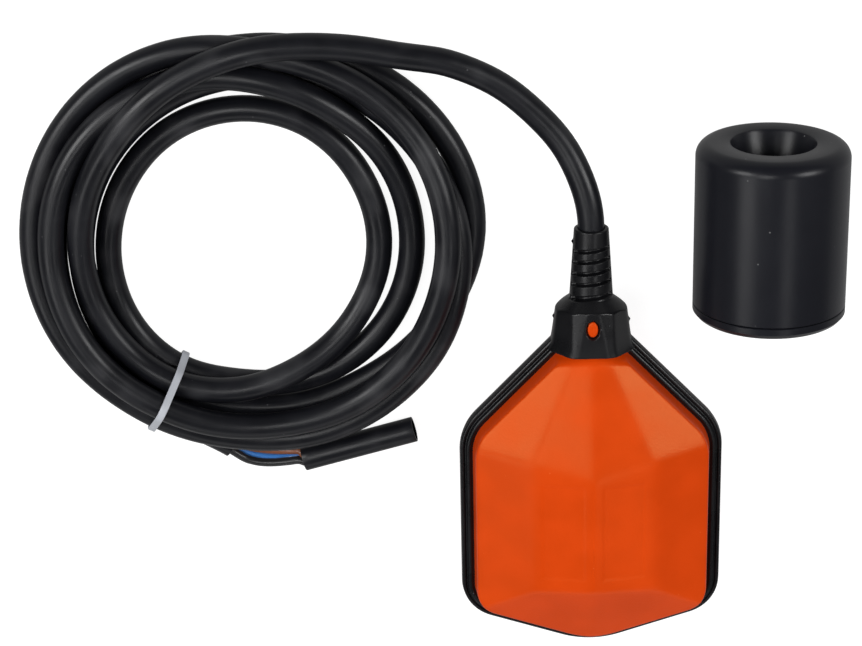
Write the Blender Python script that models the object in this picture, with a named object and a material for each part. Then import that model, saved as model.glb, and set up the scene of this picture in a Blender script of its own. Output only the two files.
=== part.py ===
"""Cable float switch with its counterweight and a coiled lead, in metres, +Z up.

The float lies on its back. X = 0 is its axis, -Y its lower tip, +Y its cable end, and Z = 0 the
surface that it lies on. The mid-plane, where the two orange shells meet, is at MID_Z.
"""
from math import cos, hypot, pi, radians, sin, tan

import bmesh
import bpy
from mathutils import Matrix, Vector

# Clearances
GAP = 0.0003                 # between two pieces that touch
PLAY = 0.0003                # round a piece that moves

# Float body: overall size and plan outline of the black band
BODY_WIDTH = 0.0810
BODY_THICKNESS = 0.0415
TIP_Y = -0.0482              # lower tip, before its rounding
FOOT_Y = -0.0350             # where the straight sides end
SHOULDER_Y = 0.0270          # where the sides turn to the shoulders
NECK_END_Y = 0.0600          # plan end of the shoulders, inside the collar
NECK_END_HALF = 0.0090
TIP_RADIUS = 0.0300
FOOT_RADIUS = 0.0130
SHOULDER_RADIUS = 0.0180
NECK_END_RADIUS = 0.0020
OUTLINE_STEPS = 6            # segments in each rounded corner

# Orange shells
WALL = 0.0022
SHELL_INSET = 0.0038         # from the band's outline to the orange wall
DRAFT = radians(6.5)
FLANGE_INSET = 0.0020        # from the band's outline to the edge of a shell's flange
FLANGE = 0.0008
EDGE_RISE = 0.0095           # face edge above the mid-plane
CROWN_Y = 0.0172             # upper end of the level ridge
FOLD_Y = -0.0205             # its lower end
FACET_HALF = 0.0185          # from the ridge to the line between two facets
FACET_DROP = 0.00345
FACET_BEND_Y = 0.0215
EDGE_BEND_Y = 0.0234
TOP_Y = 0.0510               # where the upper facets reach the collar
TOP_HALF = 0.0058
TOP_RISE = 0.0114
SEAT_RADIUS = 0.0100         # of the ring of flats that slopes down to the neck under the collar's rim
SEAT_FLATS = 9
REST_PAD_HALF = 0.0050       # flat strip along the ridge of the rear shell
PAD_INNER, PAD_OUTER = 0.0028, 0.0156
PAD_LOW, PAD_HIGH = -0.0165, 0.0150
PAD_DEPTH = 0.0003

# Neck of the shells and its oval studs
NECK_RADIUS = 0.0090
NECK_BORE = 0.0065
NECK_START_Y = 0.0490
NECK_STOP_Y = 0.0652
STUD_Y = 0.0625
STUD_HALF_X, STUD_HALF_Y = 0.0017, 0.0025
STUD_RISE = 0.0101
STUD_ROOM = 0.0007
NECK_STEPS = 16              # flats round half a neck

# Black band, collar and strain relief, moulded as one
BAND_HALF = 0.0023
BEAD_RISE = 0.0031
BAND_INNER = 0.0058
BAND_GROOVE = 0.0006         # depth of the groove between the outer lip and the bead
COLLAR_Y = 0.0536
COLLAR_RADIUS = 0.0125
COLLAR_TOP_Y = 0.0672
COLLAR_TOP_RADIUS = 0.0109
SHOULDER_DIP = 0.0016        # how much lower the shoulder's edge is at the sides of the float
RELIEF_DIP = 0.0006          # and each groove of the strain relief
RELIEF_Y = 0.0702
RELIEF_RADIUS = 0.0066
MOUTH_Y = 0.0915
MOUTH_RADIUS = 0.0052
GROOVES_Y = (0.0712, 0.0755, 0.0789, 0.0825, 0.0858)
GROOVE_WIDTH = 0.0011
GROOVE_DEPTH = 0.0008
PANEL_RISE = 0.0103          # flat of the collar's panel above the mid-plane
PANEL_LOW_HALF, PANEL_TOP_HALF = 0.0049, 0.0019
PANEL_FLANK = 0.0033         # width of the slanting flat at each side of the panel's top
PANEL_LOW_FLANK = 0.0007     # and at its lower end

# Cable
CABLE_RADIUS = 0.0040
CORE_RADIUS = 0.0013
CORE_OFFSET = 0.0017         # of each core from the cable's centre line
SHEATH_OVER_CLAMP = 0.0010   # how far the sheath reaches past the clamp inside the float
CABLE_JOINT_Y = 0.0890       # where the free lead takes over, inside the mouth
LEAD_SPACING = 0.0090        # between the points of the lead, of a core inside and of a bared core
INNER_CORE_SPACING = 0.0030
TAIL_CORE_SPACING = 0.0050
CORE_STRAIGHT = 0.0015       # straight end of a core on its blade

# Inner switch capsule
CAPSULE_LOW_Y = -0.0240
CAPSULE_ROOM = 0.0021        # beside the microswitch or its lever
CAPSULE_BEND_Y = 0.0260
CAPSULE_TOP_Y = 0.0375
CAPSULE_TOP_HALF = 0.0085
CAPSULE_RADIUS = 0.0030
CAPSULE_WALL = 0.0015
CAPSULE_RISE = 0.0105        # half its height
LID = 0.0024
LIP = 0.0015
LIP_WALL = 0.0010
RIB_THICKNESS = 0.0016
RIB_CHEEK = 0.0025           # width of a rib's cheek beside the capsule
RIB_GRIP = 0.0040            # how far cheeks and stops reach over the capsule
RIBS_Y = (-0.0120, 0.0100)

# Ball, lever and microswitch
BALL_RADIUS = 0.0060
RAIL_WIDTH = 0.0012
RAIL_RISE = 0.0050
SWITCH_HALF = 0.0139
SWITCH_LOW_Y = 0.0085
SWITCH_LENGTH = 0.0155
SWITCH_THICKNESS = 0.0103
SWITCH_HOLE_HALF = 0.0105
SWITCH_HOLE_RADIUS = 0.0016
SWITCH_POST = 0.0044         # side of the square post under each fixing
LEVER_HINGE = (-0.0115, 0.0069)
LEVER_LENGTH = 0.0235
LEVER_SLOPE = radians(-6.5)
LEVER_SWING = radians(7.0)
LEVER_THICKNESS = 0.0004
LEVER_HALF_WIDTH = 0.0021
LEVER_PIN_RADIUS = 0.0005
EAR_THICKNESS = 0.0010
EAR_HALF = 0.0012
PLUNGER_ARM = 0.0060         # from the lever's hinge to the plunger
PLUNGER_RADIUS = 0.0011
PLUNGER_LENGTH = 0.0034
BLADE_HALF_WIDTH = 0.0024
BLADE_THICKNESS = 0.0008
BLADE_LENGTH = 0.0045
BLADES_X = (-0.0100, 0.0000, 0.0100)

# Cable clamp and gland
CLAMP_WIDTH = 0.0045
CLAMP_SET_BACK = 0.0035      # from the neck to the clamp
CLAMP_HALF = 0.0108
CLAMP_THICKNESS = 0.0018
SCREW_X = 0.0085
SCREW_RADIUS = 0.0011
SCREW_HEAD_RADIUS = 0.0020
SCREW_HEAD = 0.0014
SCREW_LENGTH = 0.0060
SCREW_SLOT = 0.0006
POST_RADIUS = 0.0020
GLAND_LOW_Y, GLAND_HIGH_Y = 0.0530, 0.0640
GLAND_GROOVES_AT = (0.3, 0.7)    # of its length
GLAND_GROOVE = 0.08              # half a groove's width, of its length

# Counterweight, lying on its side
WEIGHT_X = 0.0531
WEIGHT_LOW_Y, WEIGHT_HIGH_Y = 0.0643, 0.1180
WEIGHT_RADIUS = 0.0228
WEIGHT_SIDES = 48
WEIGHT_WALL = 0.0020
WEIGHT_FILLET = 0.0042
CAP_LENGTH = 0.0037
CAP_CHAMFER = 0.0016
SPIGOT = 0.0030
CONE_RADIUS = 0.0124
CONE_DEPTH = 0.0260
WEIGHT_BORE = 0.0055
TUBE_WALL = 0.0016
WEIGHT_LIP = 0.0008          # bevel round the mouth and the bore
FILLET_STEPS = 5
BALLAST_SIDES = 32

# Coil, tie and loose end
COIL_CENTRE = (-0.1030, 0.0840)
COIL_INNER, COIL_OUTER = 0.0380, 0.0670
COIL_HEIGHT = 0.0240
COIL_EDGE = 0.0060
COIL_SIDES = 48
TIE_ANGLE = radians(239)
TIE_WIDTH = 0.0024
TIE_THICKNESS = 0.0010
TIE_EDGE = 0.0050
TIE_SQUEEZE = 0.0040         # how far the tie draws the turns in from the inside and from above
SLEEVE_START = (-0.0897, 0.0098)
SLEEVE_END = (-0.0545, 0.0195)
SLEEVE_BORE = 0.0033
CORE_SHORT = 0.0010          # from the cores' ends to the sleeve's far end
CORE_ENTRY = 0.0060          # straight run of a core inside the sleeve

# Sides of the round pieces
ROUND_SIDES = 32
CABLE_SIDES = 20
GLAND_SIDES = 16
PIN_SIDES = 12
ARCH_STEPS = 10

LEVER_REACH = LEVER_HINGE[0] + LEVER_LENGTH + 2 * LEVER_THICKNESS
CAPSULE_HALF = max(SWITCH_HALF, LEVER_REACH) + CAPSULE_ROOM + CAPSULE_WALL
CLAMP_HIGH_Y = NECK_START_Y - CLAMP_SET_BACK
CLAMP_LOW_Y = CLAMP_HIGH_Y - CLAMP_WIDTH
CABLE_STRIP_Y = CLAMP_LOW_Y - SHEATH_OVER_CLAMP
SEAM_Y = WEIGHT_LOW_Y + CAP_LENGTH
HALF = BODY_THICKNESS / 2
REST_DROP = FACET_DROP * REST_PAD_HALF / FACET_HALF    # what the flat strip takes off the rear ridge
MID_Z = HALF - REST_DROP

# Hand-chosen route of the free lead, from the strain relief to the coil
LEAD_ROUTE = (
    (0.0000, CABLE_JOINT_Y, MID_Z), (0.0000, 0.0935, MID_Z), (-0.0010, 0.1003, 0.0192),
    (-0.0042, 0.1092, 0.0178), (-0.0091, 0.1179, 0.0160), (-0.0179, 0.1273, 0.0145),
    (-0.0266, 0.1344, 0.0140), (-0.0368, 0.1398, 0.0147), (-0.0470, 0.1436, 0.0158),
    (-0.0586, 0.1466, 0.0167), (-0.0660, 0.1476, 0.0170), (-0.0715, 0.1480, 0.0170),
)
# Hand-chosen routes of the three bared cores, from the coil to the sleeve's mouth
BLACK_ROUTE = ((-0.1150, 0.0175, 0.0044), (-0.1140, 0.0132, 0.0034), (-0.1106, 0.0094, 0.0022),
               (-0.1050, 0.0070, 0.0016), (-0.0995, 0.0066, 0.0020), (-0.0940, 0.0073, 0.0028))
BLUE_ROUTE = ((-0.1095, 0.0168, 0.0040), (-0.1074, 0.0138, 0.0034), (-0.1035, 0.0112, 0.0034),
              (-0.0990, 0.0095, 0.0044), (-0.0940, 0.0090, 0.0056))
BROWN_ROUTE = ((-0.1035, 0.0166, 0.0046), (-0.1012, 0.0138, 0.0040), (-0.0980, 0.0118, 0.0036),
               (-0.0940, 0.0107, 0.0032))


def material(name, colour, roughness, metallic=0.0):
    made = bpy.data.materials.new(name)
    made.use_nodes = True
    shader = made.node_tree.nodes["Principled BSDF"]
    shader.inputs["Base Color"].default_value = (*colour, 1.0)
    shader.inputs["Roughness"].default_value = roughness
    shader.inputs["Metallic"].default_value = metallic
    made.diffuse_color = (*colour, 1.0)
    return made


def add_object(name, bm, finish, guide=False):
    """Turns a bmesh into an object with outward faces, smooth where it turns by under 35 degrees."""
    bmesh.ops.recalc_face_normals(bm, faces=bm.faces[:])
    mesh = bpy.data.meshes.new(name)
    bm.to_mesh(mesh)
    bm.free()
    mesh.shade_smooth()
    mesh.set_sharp_from_angle(angle=radians(35))
    if finish:
        mesh.materials.append(finish)
    made = bpy.data.objects.new(name, mesh)
    bpy.context.collection.objects.link(made)
    if guide:
        made.hide_render = True
        made.display_type = "WIRE"
    return made


def combine(target, bm, label, operation):
    """Adds a live Boolean to the target; its tool stays in the file as a hidden guide."""
    tool = add_object(target.name + "_" + label, bm, None, guide=True)
    step = target.modifiers.new(label, "BOOLEAN")
    step.operation = operation
    step.object = tool
    step.solver = "EXACT"


def cut(target, bm, label):
    combine(target, bm, label, "DIFFERENCE")


def fuse(target, bm, label):
    combine(target, bm, label, "UNION")


def corner_directions(corners, index):
    """Position of a corner and the directions of the sides that come into it and leave it."""
    here = Vector(corners[index][:2])
    into = (here - Vector(corners[index - 1][:2])).normalized()
    away = (Vector(corners[(index + 1) % len(corners)][:2]) - here).normalized()
    return here, into, away


def inset_corners(corners, inset):
    """Moves each side of a counter-clockwise outline inwards and works its corners out again."""
    moved = []
    for index, corner in enumerate(corners):
        here, into, away = corner_directions(corners, index)
        into_normal = Vector((-into.y, into.x))
        away_normal = Vector((-away.y, away.x))
        place = here + (into_normal + away_normal) * (inset / (1 + into_normal.dot(away_normal)))
        moved.append((place.x, place.y, max(corner[2] - inset, corner[2] * 0.2)))
    return moved


def rounded_outline(corners, steps):
    """Points of a counter-clockwise outline whose corners (x, y, radius) are arcs."""
    points = []
    for index, corner in enumerate(corners):
        here, into, away = corner_directions(corners, index)
        turn = -into.angle_signed(away)
        start = here - into * corner[2] * tan(turn / 2)
        centre = start + Vector((-into.y, into.x)) * corner[2]
        for step in range(steps + 1):
            place = centre + Matrix.Rotation(turn * step / steps, 2) @ (start - centre)
            points.append((place.x, place.y))
    return points


def outline_ring(corners, inset, z, steps=OUTLINE_STEPS):
    return [(x, y, z) for x, y in rounded_outline(inset_corners(corners, inset), steps)]


def mirrored(right):
    """Adds the left side to the right-hand corners of an outline, in counter-clockwise order."""
    return right + [(-x, y, radius) for x, y, radius in reversed(right)]


def band_corners():
    half = BODY_WIDTH / 2
    return [(0.0, TIP_Y, TIP_RADIUS)] + mirrored([
        (half, FOOT_Y, FOOT_RADIUS), (half, SHOULDER_Y, SHOULDER_RADIUS),
        (NECK_END_HALF, NECK_END_Y, NECK_END_RADIUS)])


def capsule_corners():
    return mirrored([(CAPSULE_HALF, CAPSULE_LOW_Y, CAPSULE_RADIUS),
                     (CAPSULE_HALF, CAPSULE_BEND_Y, CAPSULE_RADIUS),
                     (CAPSULE_TOP_HALF, CAPSULE_TOP_Y, CAPSULE_RADIUS)])


def loft(rings, closed=False):
    """Skins equal rings one after the other; an open row of rings gets its end faces."""
    bm = bmesh.new()
    loops = [[bm.verts.new(point) for point in ring] for ring in rings]
    following = loops[1:] + loops[:1] if closed else loops[1:]
    for lower, upper in zip(loops, following):
        for index in range(len(lower)):
            after = (index + 1) % len(lower)
            bm.faces.new((lower[index], lower[after], upper[after], upper[index]))
    if not closed:
        bm.faces.new(loops[0][::-1])
        bm.faces.new(loops[-1])
    return bm


def block(low, high):
    corners = [(low[0], low[1]), (high[0], low[1]), (high[0], high[1]), (low[0], high[1])]
    return loft([[(x, y, z) for x, y in corners] for z in (low[2], high[2])])


def turned(profile, centre, sides, axis="Y", phase=0.0, closed=False):
    """Revolves (place along the axis, radius) points about an axis through the centre.

    The centre is (x, z) for the Y axis and (x, y) for the Z axis. An open profile gets flat ends.
    """
    rings = []
    for along, radius in profile:
        ring = []
        for index in range(sides):
            angle = phase + 2 * pi * index / sides
            first, second = centre[0] + radius * cos(angle), centre[1] + radius * sin(angle)
            ring.append((first, along, second) if axis == "Y" else (first, second, along))
        rings.append(ring)
    return loft(rings, closed)


def rod(low, high, radius, centre, sides, axis="Y"):
    return turned([(low, radius), (high, radius)], centre, sides, axis)


def oval(half_x, half_y, low, high, sides=20):
    """An upright oval prism centred on the stud."""
    ring = [(half_x * cos(2 * pi * n / sides), STUD_Y + half_y * sin(2 * pi * n / sides))
            for n in range(sides)]
    return loft([[(x, y, z) for x, y in ring] for z in (low, high)])


def facet_planes():
    """The flats of one face, as a point and an outward normal above the mid-plane each."""
    slope = (FOOT_Y - TIP_Y) / (BODY_WIDTH / 2)
    inset = SHELL_INSET + EDGE_RISE * tan(DRAFT)
    crown = Vector((0, CROWN_Y, HALF))
    fold = Vector((0, FOLD_Y, HALF))
    facet = Vector((FACET_HALF, FACET_BEND_Y, HALF - FACET_DROP))
    edge = Vector((BODY_WIDTH / 2 - inset, EDGE_BEND_Y, EDGE_RISE))
    top = Vector((TOP_HALF, TOP_Y, TOP_RISE))
    low = Vector((0, TIP_Y + inset * hypot(1, slope), EDGE_RISE))
    down = Vector((0, FOLD_Y - CROWN_Y, 0))
    right = [(crown, fold, facet + Vector((0, CROWN_Y - FACET_BEND_Y, 0))), (facet, facet + down, edge),
             (crown, facet, top), (facet, edge, top), (fold, low, low + Vector((1, slope, 0)) * FACET_HALF)]
    planes = []
    for side in (1, -1):
        for points in right:
            first, second, third = [Vector((p.x * side, p.y, p.z)) for p in points]
            normal = (second - first).cross(third - first).normalized()
            planes.append((first, normal if normal.z > 0 else -normal))
    return planes


def seat_planes():
    """Flats that slope down at 45 degrees to the neck under the collar, given as facet_planes does."""
    planes = []
    for number in range(SEAT_FLATS):
        angle = pi * (number + 0.5) / SEAT_FLATS
        out = Vector((cos(angle), 0, sin(angle)))
        planes.append((out * SEAT_RADIUS + Vector((0, COLLAR_Y, 0)), (out + Vector((0, 1, 0))).normalized()))
    return planes


def face_height(x, y, depth=0.0):
    """Height above the mid-plane of the surface that lies this deep under a face."""
    place = Vector((x, y, 0))
    return min((point - normal * depth - place).dot(normal) / normal.z
               for point, normal in facet_planes())


def pad_height(depth=0.0):
    """Height above the mid-plane of the surface this deep under the rear shell's flat strip."""
    return HALF - REST_DROP - depth


def slice_above(bm, place, normal):
    """Cuts away what lies above a plane and closes the cut."""
    geometry = bm.verts[:] + bm.edges[:] + bm.faces[:]
    result = bmesh.ops.bisect_plane(bm, geom=geometry, dist=1e-7, plane_co=place, plane_no=normal,
                                    clear_outer=True)
    rim = [item for item in result["geom_cut"] if isinstance(item, bmesh.types.BMEdge)]
    if rim:
        bmesh.ops.edgeloop_fill(bm, edges=rim)


def body_half(side, grow, low, flange_top=None):
    """Half of the float's faceted body as a closed solid, from low up to its facets.

    It is grown by grow all round. With flange_top it has a flange between low and there.
    Side 1 is the front; side -1 is turned over and gets the flat strip to rest on.
    """
    inset = SHELL_INSET - grow
    corners = band_corners()
    peak = HALF + 0.1 * HALF
    rings = []
    if flange_top is None:
        rings.append(outline_ring(corners, inset, low))
    else:
        rings.append(outline_ring(corners, FLANGE_INSET - grow, low))
        rings.append(outline_ring(corners, FLANGE_INSET - grow, flange_top))
        rings.append(outline_ring(corners, inset, flange_top))
    rings.append(outline_ring(corners, inset + peak * tan(DRAFT), peak))
    bm = loft(rings)
    for place, normal in facet_planes() + seat_planes():
        slice_above(bm, place + normal * grow, normal)
    if side < 0:
        slice_above(bm, Vector((0, 0, pad_height(-grow))), Vector((0, 0, 1)))
    return on_side(bm, side)


def on_side(bm, side):
    """Moves a shape built above the mid-plane to the front, or turned over to the rear."""
    turn_over = Matrix.Diagonal((1, 1, side, 1))
    bmesh.ops.transform(bm, matrix=Matrix.Translation((0, 0, MID_Z)) @ turn_over, verts=bm.verts)
    return bm


def root_height(x, y, side):
    """Height above the mid-plane of the middle of a shell's wall."""
    height = face_height(x, y, WALL / 2)
    return min(height, pad_height(WALL / 2)) if side < 0 else height


def cradle_section(y, side):
    """Section of a rib with two cheeks that stand beside the capsule."""
    foot = CAPSULE_RISE + GAP
    near = CAPSULE_HALF + GAP
    far = near + RIB_CHEEK
    right = [(near, foot), (near, foot - RIB_GRIP), (far, foot - RIB_GRIP), (far, root_height(far, y, side)),
             (near, root_height(near, y, side))]
    line = right + [(0.0, root_height(0.0, y, side))] + [(-x, z) for x, z in reversed(right)]
    return [(x, y, z) for x, z in line]


def stop_section(y, side):
    """Section of a short rib across one end of the capsule."""
    low = CAPSULE_RISE + GAP - RIB_GRIP
    line = [(CAPSULE_TOP_HALF, low), (CAPSULE_TOP_HALF, root_height(CAPSULE_TOP_HALF, y, side)),
            (0.0, root_height(0.0, y, side)),
            (-CAPSULE_TOP_HALF, root_height(CAPSULE_TOP_HALF, y, side)), (-CAPSULE_TOP_HALF, low)]
    return [(x, y, z) for x, z in line]


def make_shell(name, side, finish):
    """A hollow orange half shell with a flange, ribs for the capsule, half a neck and a stud."""
    half_gap = GAP / 2
    shell = add_object(name, body_half(side, 0.0, half_gap, half_gap + FLANGE), finish)
    cut(shell, body_half(side, -WALL, -WALL), "hollow")

    for number, y in enumerate(RIBS_Y):
        rings = [cradle_section(place, side) for place in (y, y + RIB_THICKNESS)]
        fuse(shell, on_side(loft(rings), side), "rib_%d" % number)
    lower_stop = CAPSULE_LOW_Y - GAP - RIB_THICKNESS
    for number, y in enumerate((lower_stop, CAPSULE_TOP_Y + GAP)):
        rings = [stop_section(place, side) for place in (y, y + RIB_THICKNESS)]
        fuse(shell, on_side(loft(rings), side), "stop_%d" % number)

    arc = [(NECK_RADIUS * cos(pi * n / NECK_STEPS), NECK_RADIUS * sin(pi * n / NECK_STEPS) + half_gap)
           for n in range(NECK_STEPS + 1)]
    neck = loft([[(x, y, z) for x, z in arc] for y in (NECK_START_Y, NECK_STOP_Y)])
    fuse(shell, on_side(neck, side), "neck")
    stud = oval(STUD_HALF_X, STUD_HALF_Y, (NECK_BORE + NECK_RADIUS) / 2, STUD_RISE)
    fuse(shell, on_side(stud, side), "stud")
    cut(shell, rod(NECK_START_Y - WALL, NECK_STOP_Y + WALL, NECK_BORE, (0.0, MID_Z), CABLE_SIDES),
        "bore")
    if side > 0:
        sink_pads(shell)
    else:
        raise_clamp_posts(shell)
    return shell


def sink_pads(shell):
    """Two shallow blank fields, one on each facet beside the ridge, with floors parallel to it."""
    for number, flank in enumerate((-1, 1)):
        near, far = sorted((flank * PAD_INNER, flank * PAD_OUTER))
        corners = [(near, PAD_LOW), (far, PAD_LOW), (far, PAD_HIGH), (near, PAD_HIGH)]
        rings = [[(x, y, face_height(x, 0, PAD_DEPTH) + lift) for x, y in corners] for lift in (0.0, WALL)]
        cut(shell, on_side(loft(rings), 1), "pad_%d" % number)


def raise_clamp_posts(shell):
    """Two drilled posts for the cable clamp, from the rear wall to just under the mid-plane."""
    y = (CLAMP_LOW_Y + CLAMP_HIGH_Y) / 2
    foot = MID_Z - face_height(SCREW_X + POST_RADIUS, y + POST_RADIUS, GAP)
    top = MID_Z - GAP / 2
    for number, x in enumerate((-SCREW_X, SCREW_X)):
        fuse(shell, rod(foot, top, POST_RADIUS, (x, y), GLAND_SIDES, "Z"), "post_%d" % number)
        cut(shell, rod(top - SCREW_LENGTH, top + WALL, SCREW_RADIUS + GAP, (x, y), PIN_SIDES, "Z"),
            "hole_%d" % number)


def band_profile():
    """Half the band's section, as (inset, height) from its outer lip over the bead to its inside."""
    groove = BAND_HALF - BAND_GROOVE
    return [(0.0003, BAND_HALF * 0.85), (0.0007, BAND_HALF), (0.0013, BAND_HALF), (0.0015, groove),
            (0.0020, groove), (0.0022, BEAD_RISE - 0.0003), (0.0026, BEAD_RISE), (0.0033, BEAD_RISE),
            (SHELL_INSET, BEAD_RISE - 0.0005), (BAND_INNER, BEAD_RISE - 0.0005)]


def collar_profile():
    """Collar, its sloping shoulder and the ribbed strain relief, as (y, radius, dip at the sides)."""
    profile = [(COLLAR_Y, COLLAR_RADIUS - 0.0004, 0.0), (COLLAR_Y + 0.0008, COLLAR_RADIUS, 0.0),
               (COLLAR_TOP_Y - 0.0006, COLLAR_TOP_RADIUS, SHOULDER_DIP),
               (COLLAR_TOP_Y + 0.0002, COLLAR_TOP_RADIUS - 0.0005, SHOULDER_DIP),
               (RELIEF_Y, RELIEF_RADIUS, RELIEF_DIP)]
    taper = (MOUTH_RADIUS - RELIEF_RADIUS) / (MOUTH_Y - RELIEF_Y)
    for y in GROOVES_Y:
        radius = RELIEF_RADIUS + taper * (y - RELIEF_Y)
        near, far = y - GROOVE_WIDTH / 2, y + GROOVE_WIDTH / 2
        slant = GROOVE_WIDTH / 5
        profile += [(near, radius, RELIEF_DIP), (near + slant, radius - GROOVE_DEPTH, RELIEF_DIP),
                    (far - slant, radius - GROOVE_DEPTH, RELIEF_DIP), (far, radius, RELIEF_DIP)]
    return profile + [(MOUTH_Y - 0.0006, MOUTH_RADIUS, 0.0), (MOUTH_Y, MOUTH_RADIUS - 0.0004, 0.0)]


def collar_body():
    """The collar and strain relief turned about the float's axis, each ring lower at its sides."""
    turns = [2 * pi * n / ROUND_SIDES for n in range(ROUND_SIDES)]
    return loft([[(radius * cos(turn), y - dip * abs(cos(turn)), MID_Z + radius * sin(turn))
                  for turn in turns] for y, radius, dip in collar_profile()])


def panel_ring(y, half, flank, flank_drop):
    """Section of the tool that flattens the collar: a level floor between two slanting flats."""
    line = [(-half - flank, PANEL_RISE + flank_drop), (-half, PANEL_RISE), (half, PANEL_RISE),
            (half + flank, PANEL_RISE + flank_drop)]
    above = COLLAR_RADIUS * 1.3
    return [(x, y, z) for x, z in line] + [(line[-1][0], y, above), (line[0][0], y, above)]


def make_boot(finish):
    """The soft black moulding: band with a bead on each side, collar and ribbed strain relief."""
    half = band_profile()
    profile = [(0.0, 0.0)] + half + [(inset, -rise) for inset, rise in reversed(half)]
    rings = [outline_ring(band_corners(), inset, MID_Z + rise) for inset, rise in profile]
    boot = add_object("seal_boot", loft(rings, closed=True), finish)
    fuse(boot, collar_body(), "collar")
    flange_room = GAP / 2 + FLANGE + GAP
    for name, side in (("front", 1), ("rear", -1)):
        cut(boot, body_half(side, GAP, -flange_room, flange_room), "room_" + name)
        panel = loft([panel_ring(COLLAR_Y - GAP, PANEL_LOW_HALF, PANEL_LOW_FLANK, 0.001),
                      panel_ring(COLLAR_TOP_Y - 0.0012, PANEL_TOP_HALF, PANEL_FLANK, -PANEL_FLANK * 0.4)])
        cut(boot, on_side(panel, side), "panel_" + name)
        eye = oval(STUD_HALF_X + STUD_ROOM, STUD_HALF_Y + STUD_ROOM, NECK_RADIUS / 2, COLLAR_RADIUS)
        cut(boot, on_side(eye, side), "eye_" + name)
    room = NECK_RADIUS + GAP
    bore = CABLE_RADIUS + GAP
    stop = NECK_STOP_Y + GAP
    cut(boot, turned([(NECK_START_Y, room), (stop, room), (stop, bore), (MOUTH_Y + WALL, bore)],
                     (0.0, MID_Z), CABLE_SIDES), "bore")


def make_capsule(finish):
    """A tray with rails for the ball and pegged posts for the microswitch, and its lid with a lip."""
    corners = capsule_corners()
    bottom, top = MID_Z - CAPSULE_RISE, MID_Z + CAPSULE_RISE
    rim = top - LID - GAP
    floor = bottom + CAPSULE_WALL
    rooted = bottom + CAPSULE_WALL / 2
    tray = add_object("capsule_tray", loft([outline_ring(corners, 0.0, z, 4) for z in (bottom, rim)]),
                      finish)
    cut(tray, loft([outline_ring(corners, CAPSULE_WALL, z, 4) for z in (floor, top)]), "hollow")
    switch_low = MID_Z - SWITCH_THICKNESS / 2
    fixing_y = SWITCH_LOW_Y + SWITCH_LENGTH / 2
    reach = SWITCH_POST / 2
    for number, side in enumerate((-1, 1)):
        near, far = sorted((side * (BALL_RADIUS + PLAY), side * (BALL_RADIUS + PLAY + RAIL_WIDTH)))
        fuse(tray, block((near, CAPSULE_LOW_Y + CAPSULE_WALL / 2, rooted),
                         (far, ball_end_y(), floor + RAIL_RISE)), "rail_%d" % number)
        x = side * SWITCH_HOLE_HALF
        fuse(tray, block((x - reach, fixing_y - reach, rooted),
                         (x + reach, fixing_y + reach, switch_low - GAP)), "post_%d" % number)
        fuse(tray, rod(floor, switch_low + SWITCH_THICKNESS, SWITCH_HOLE_RADIUS - GAP, (x, fixing_y),
                       GLAND_SIDES, "Z"), "peg_%d" % number)
    cut(tray, rod(CAPSULE_TOP_Y - 2 * CAPSULE_WALL, CAPSULE_TOP_Y + CAPSULE_WALL, CABLE_RADIUS,
                  (0.0, MID_Z), CABLE_SIDES), "way_out")

    lid = add_object("capsule_lid", loft([outline_ring(corners, 0.0, z, 4) for z in (rim + GAP, top)]),
                     finish)
    outer = CAPSULE_WALL + GAP
    lip = [(outer, rim + LID / 2), (outer, rim - LIP), (outer + LIP_WALL, rim - LIP),
           (outer + LIP_WALL, rim + LID / 2)]
    fuse(lid, loft([outline_ring(corners, inset, z, 4) for inset, z in lip], closed=True), "lip")


def lever_point(distance, lift=0.0, swing=0.0):
    """A place on the lever, measured from its hinge along it and across it."""
    slope = LEVER_SLOPE + swing
    return (LEVER_HINGE[0] + distance * cos(slope) - lift * sin(slope),
            LEVER_HINGE[1] + distance * sin(slope) + lift * cos(slope))


def plunger_travel():
    return PLUNGER_ARM * (sin(LEVER_SLOPE + LEVER_SWING) - sin(LEVER_SLOPE))


def ball_start_y():
    return CAPSULE_LOW_Y + CAPSULE_WALL + PLAY + BALL_RADIUS


def ball_end_y():
    """Where the ball's centre stops, its front just short of the lever at the end of its swing."""
    lever_face = lever_point(-LEVER_HINGE[0], -LEVER_THICKNESS / 2, LEVER_SWING)[1]
    return lever_face - PLAY - BALL_RADIUS


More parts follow.
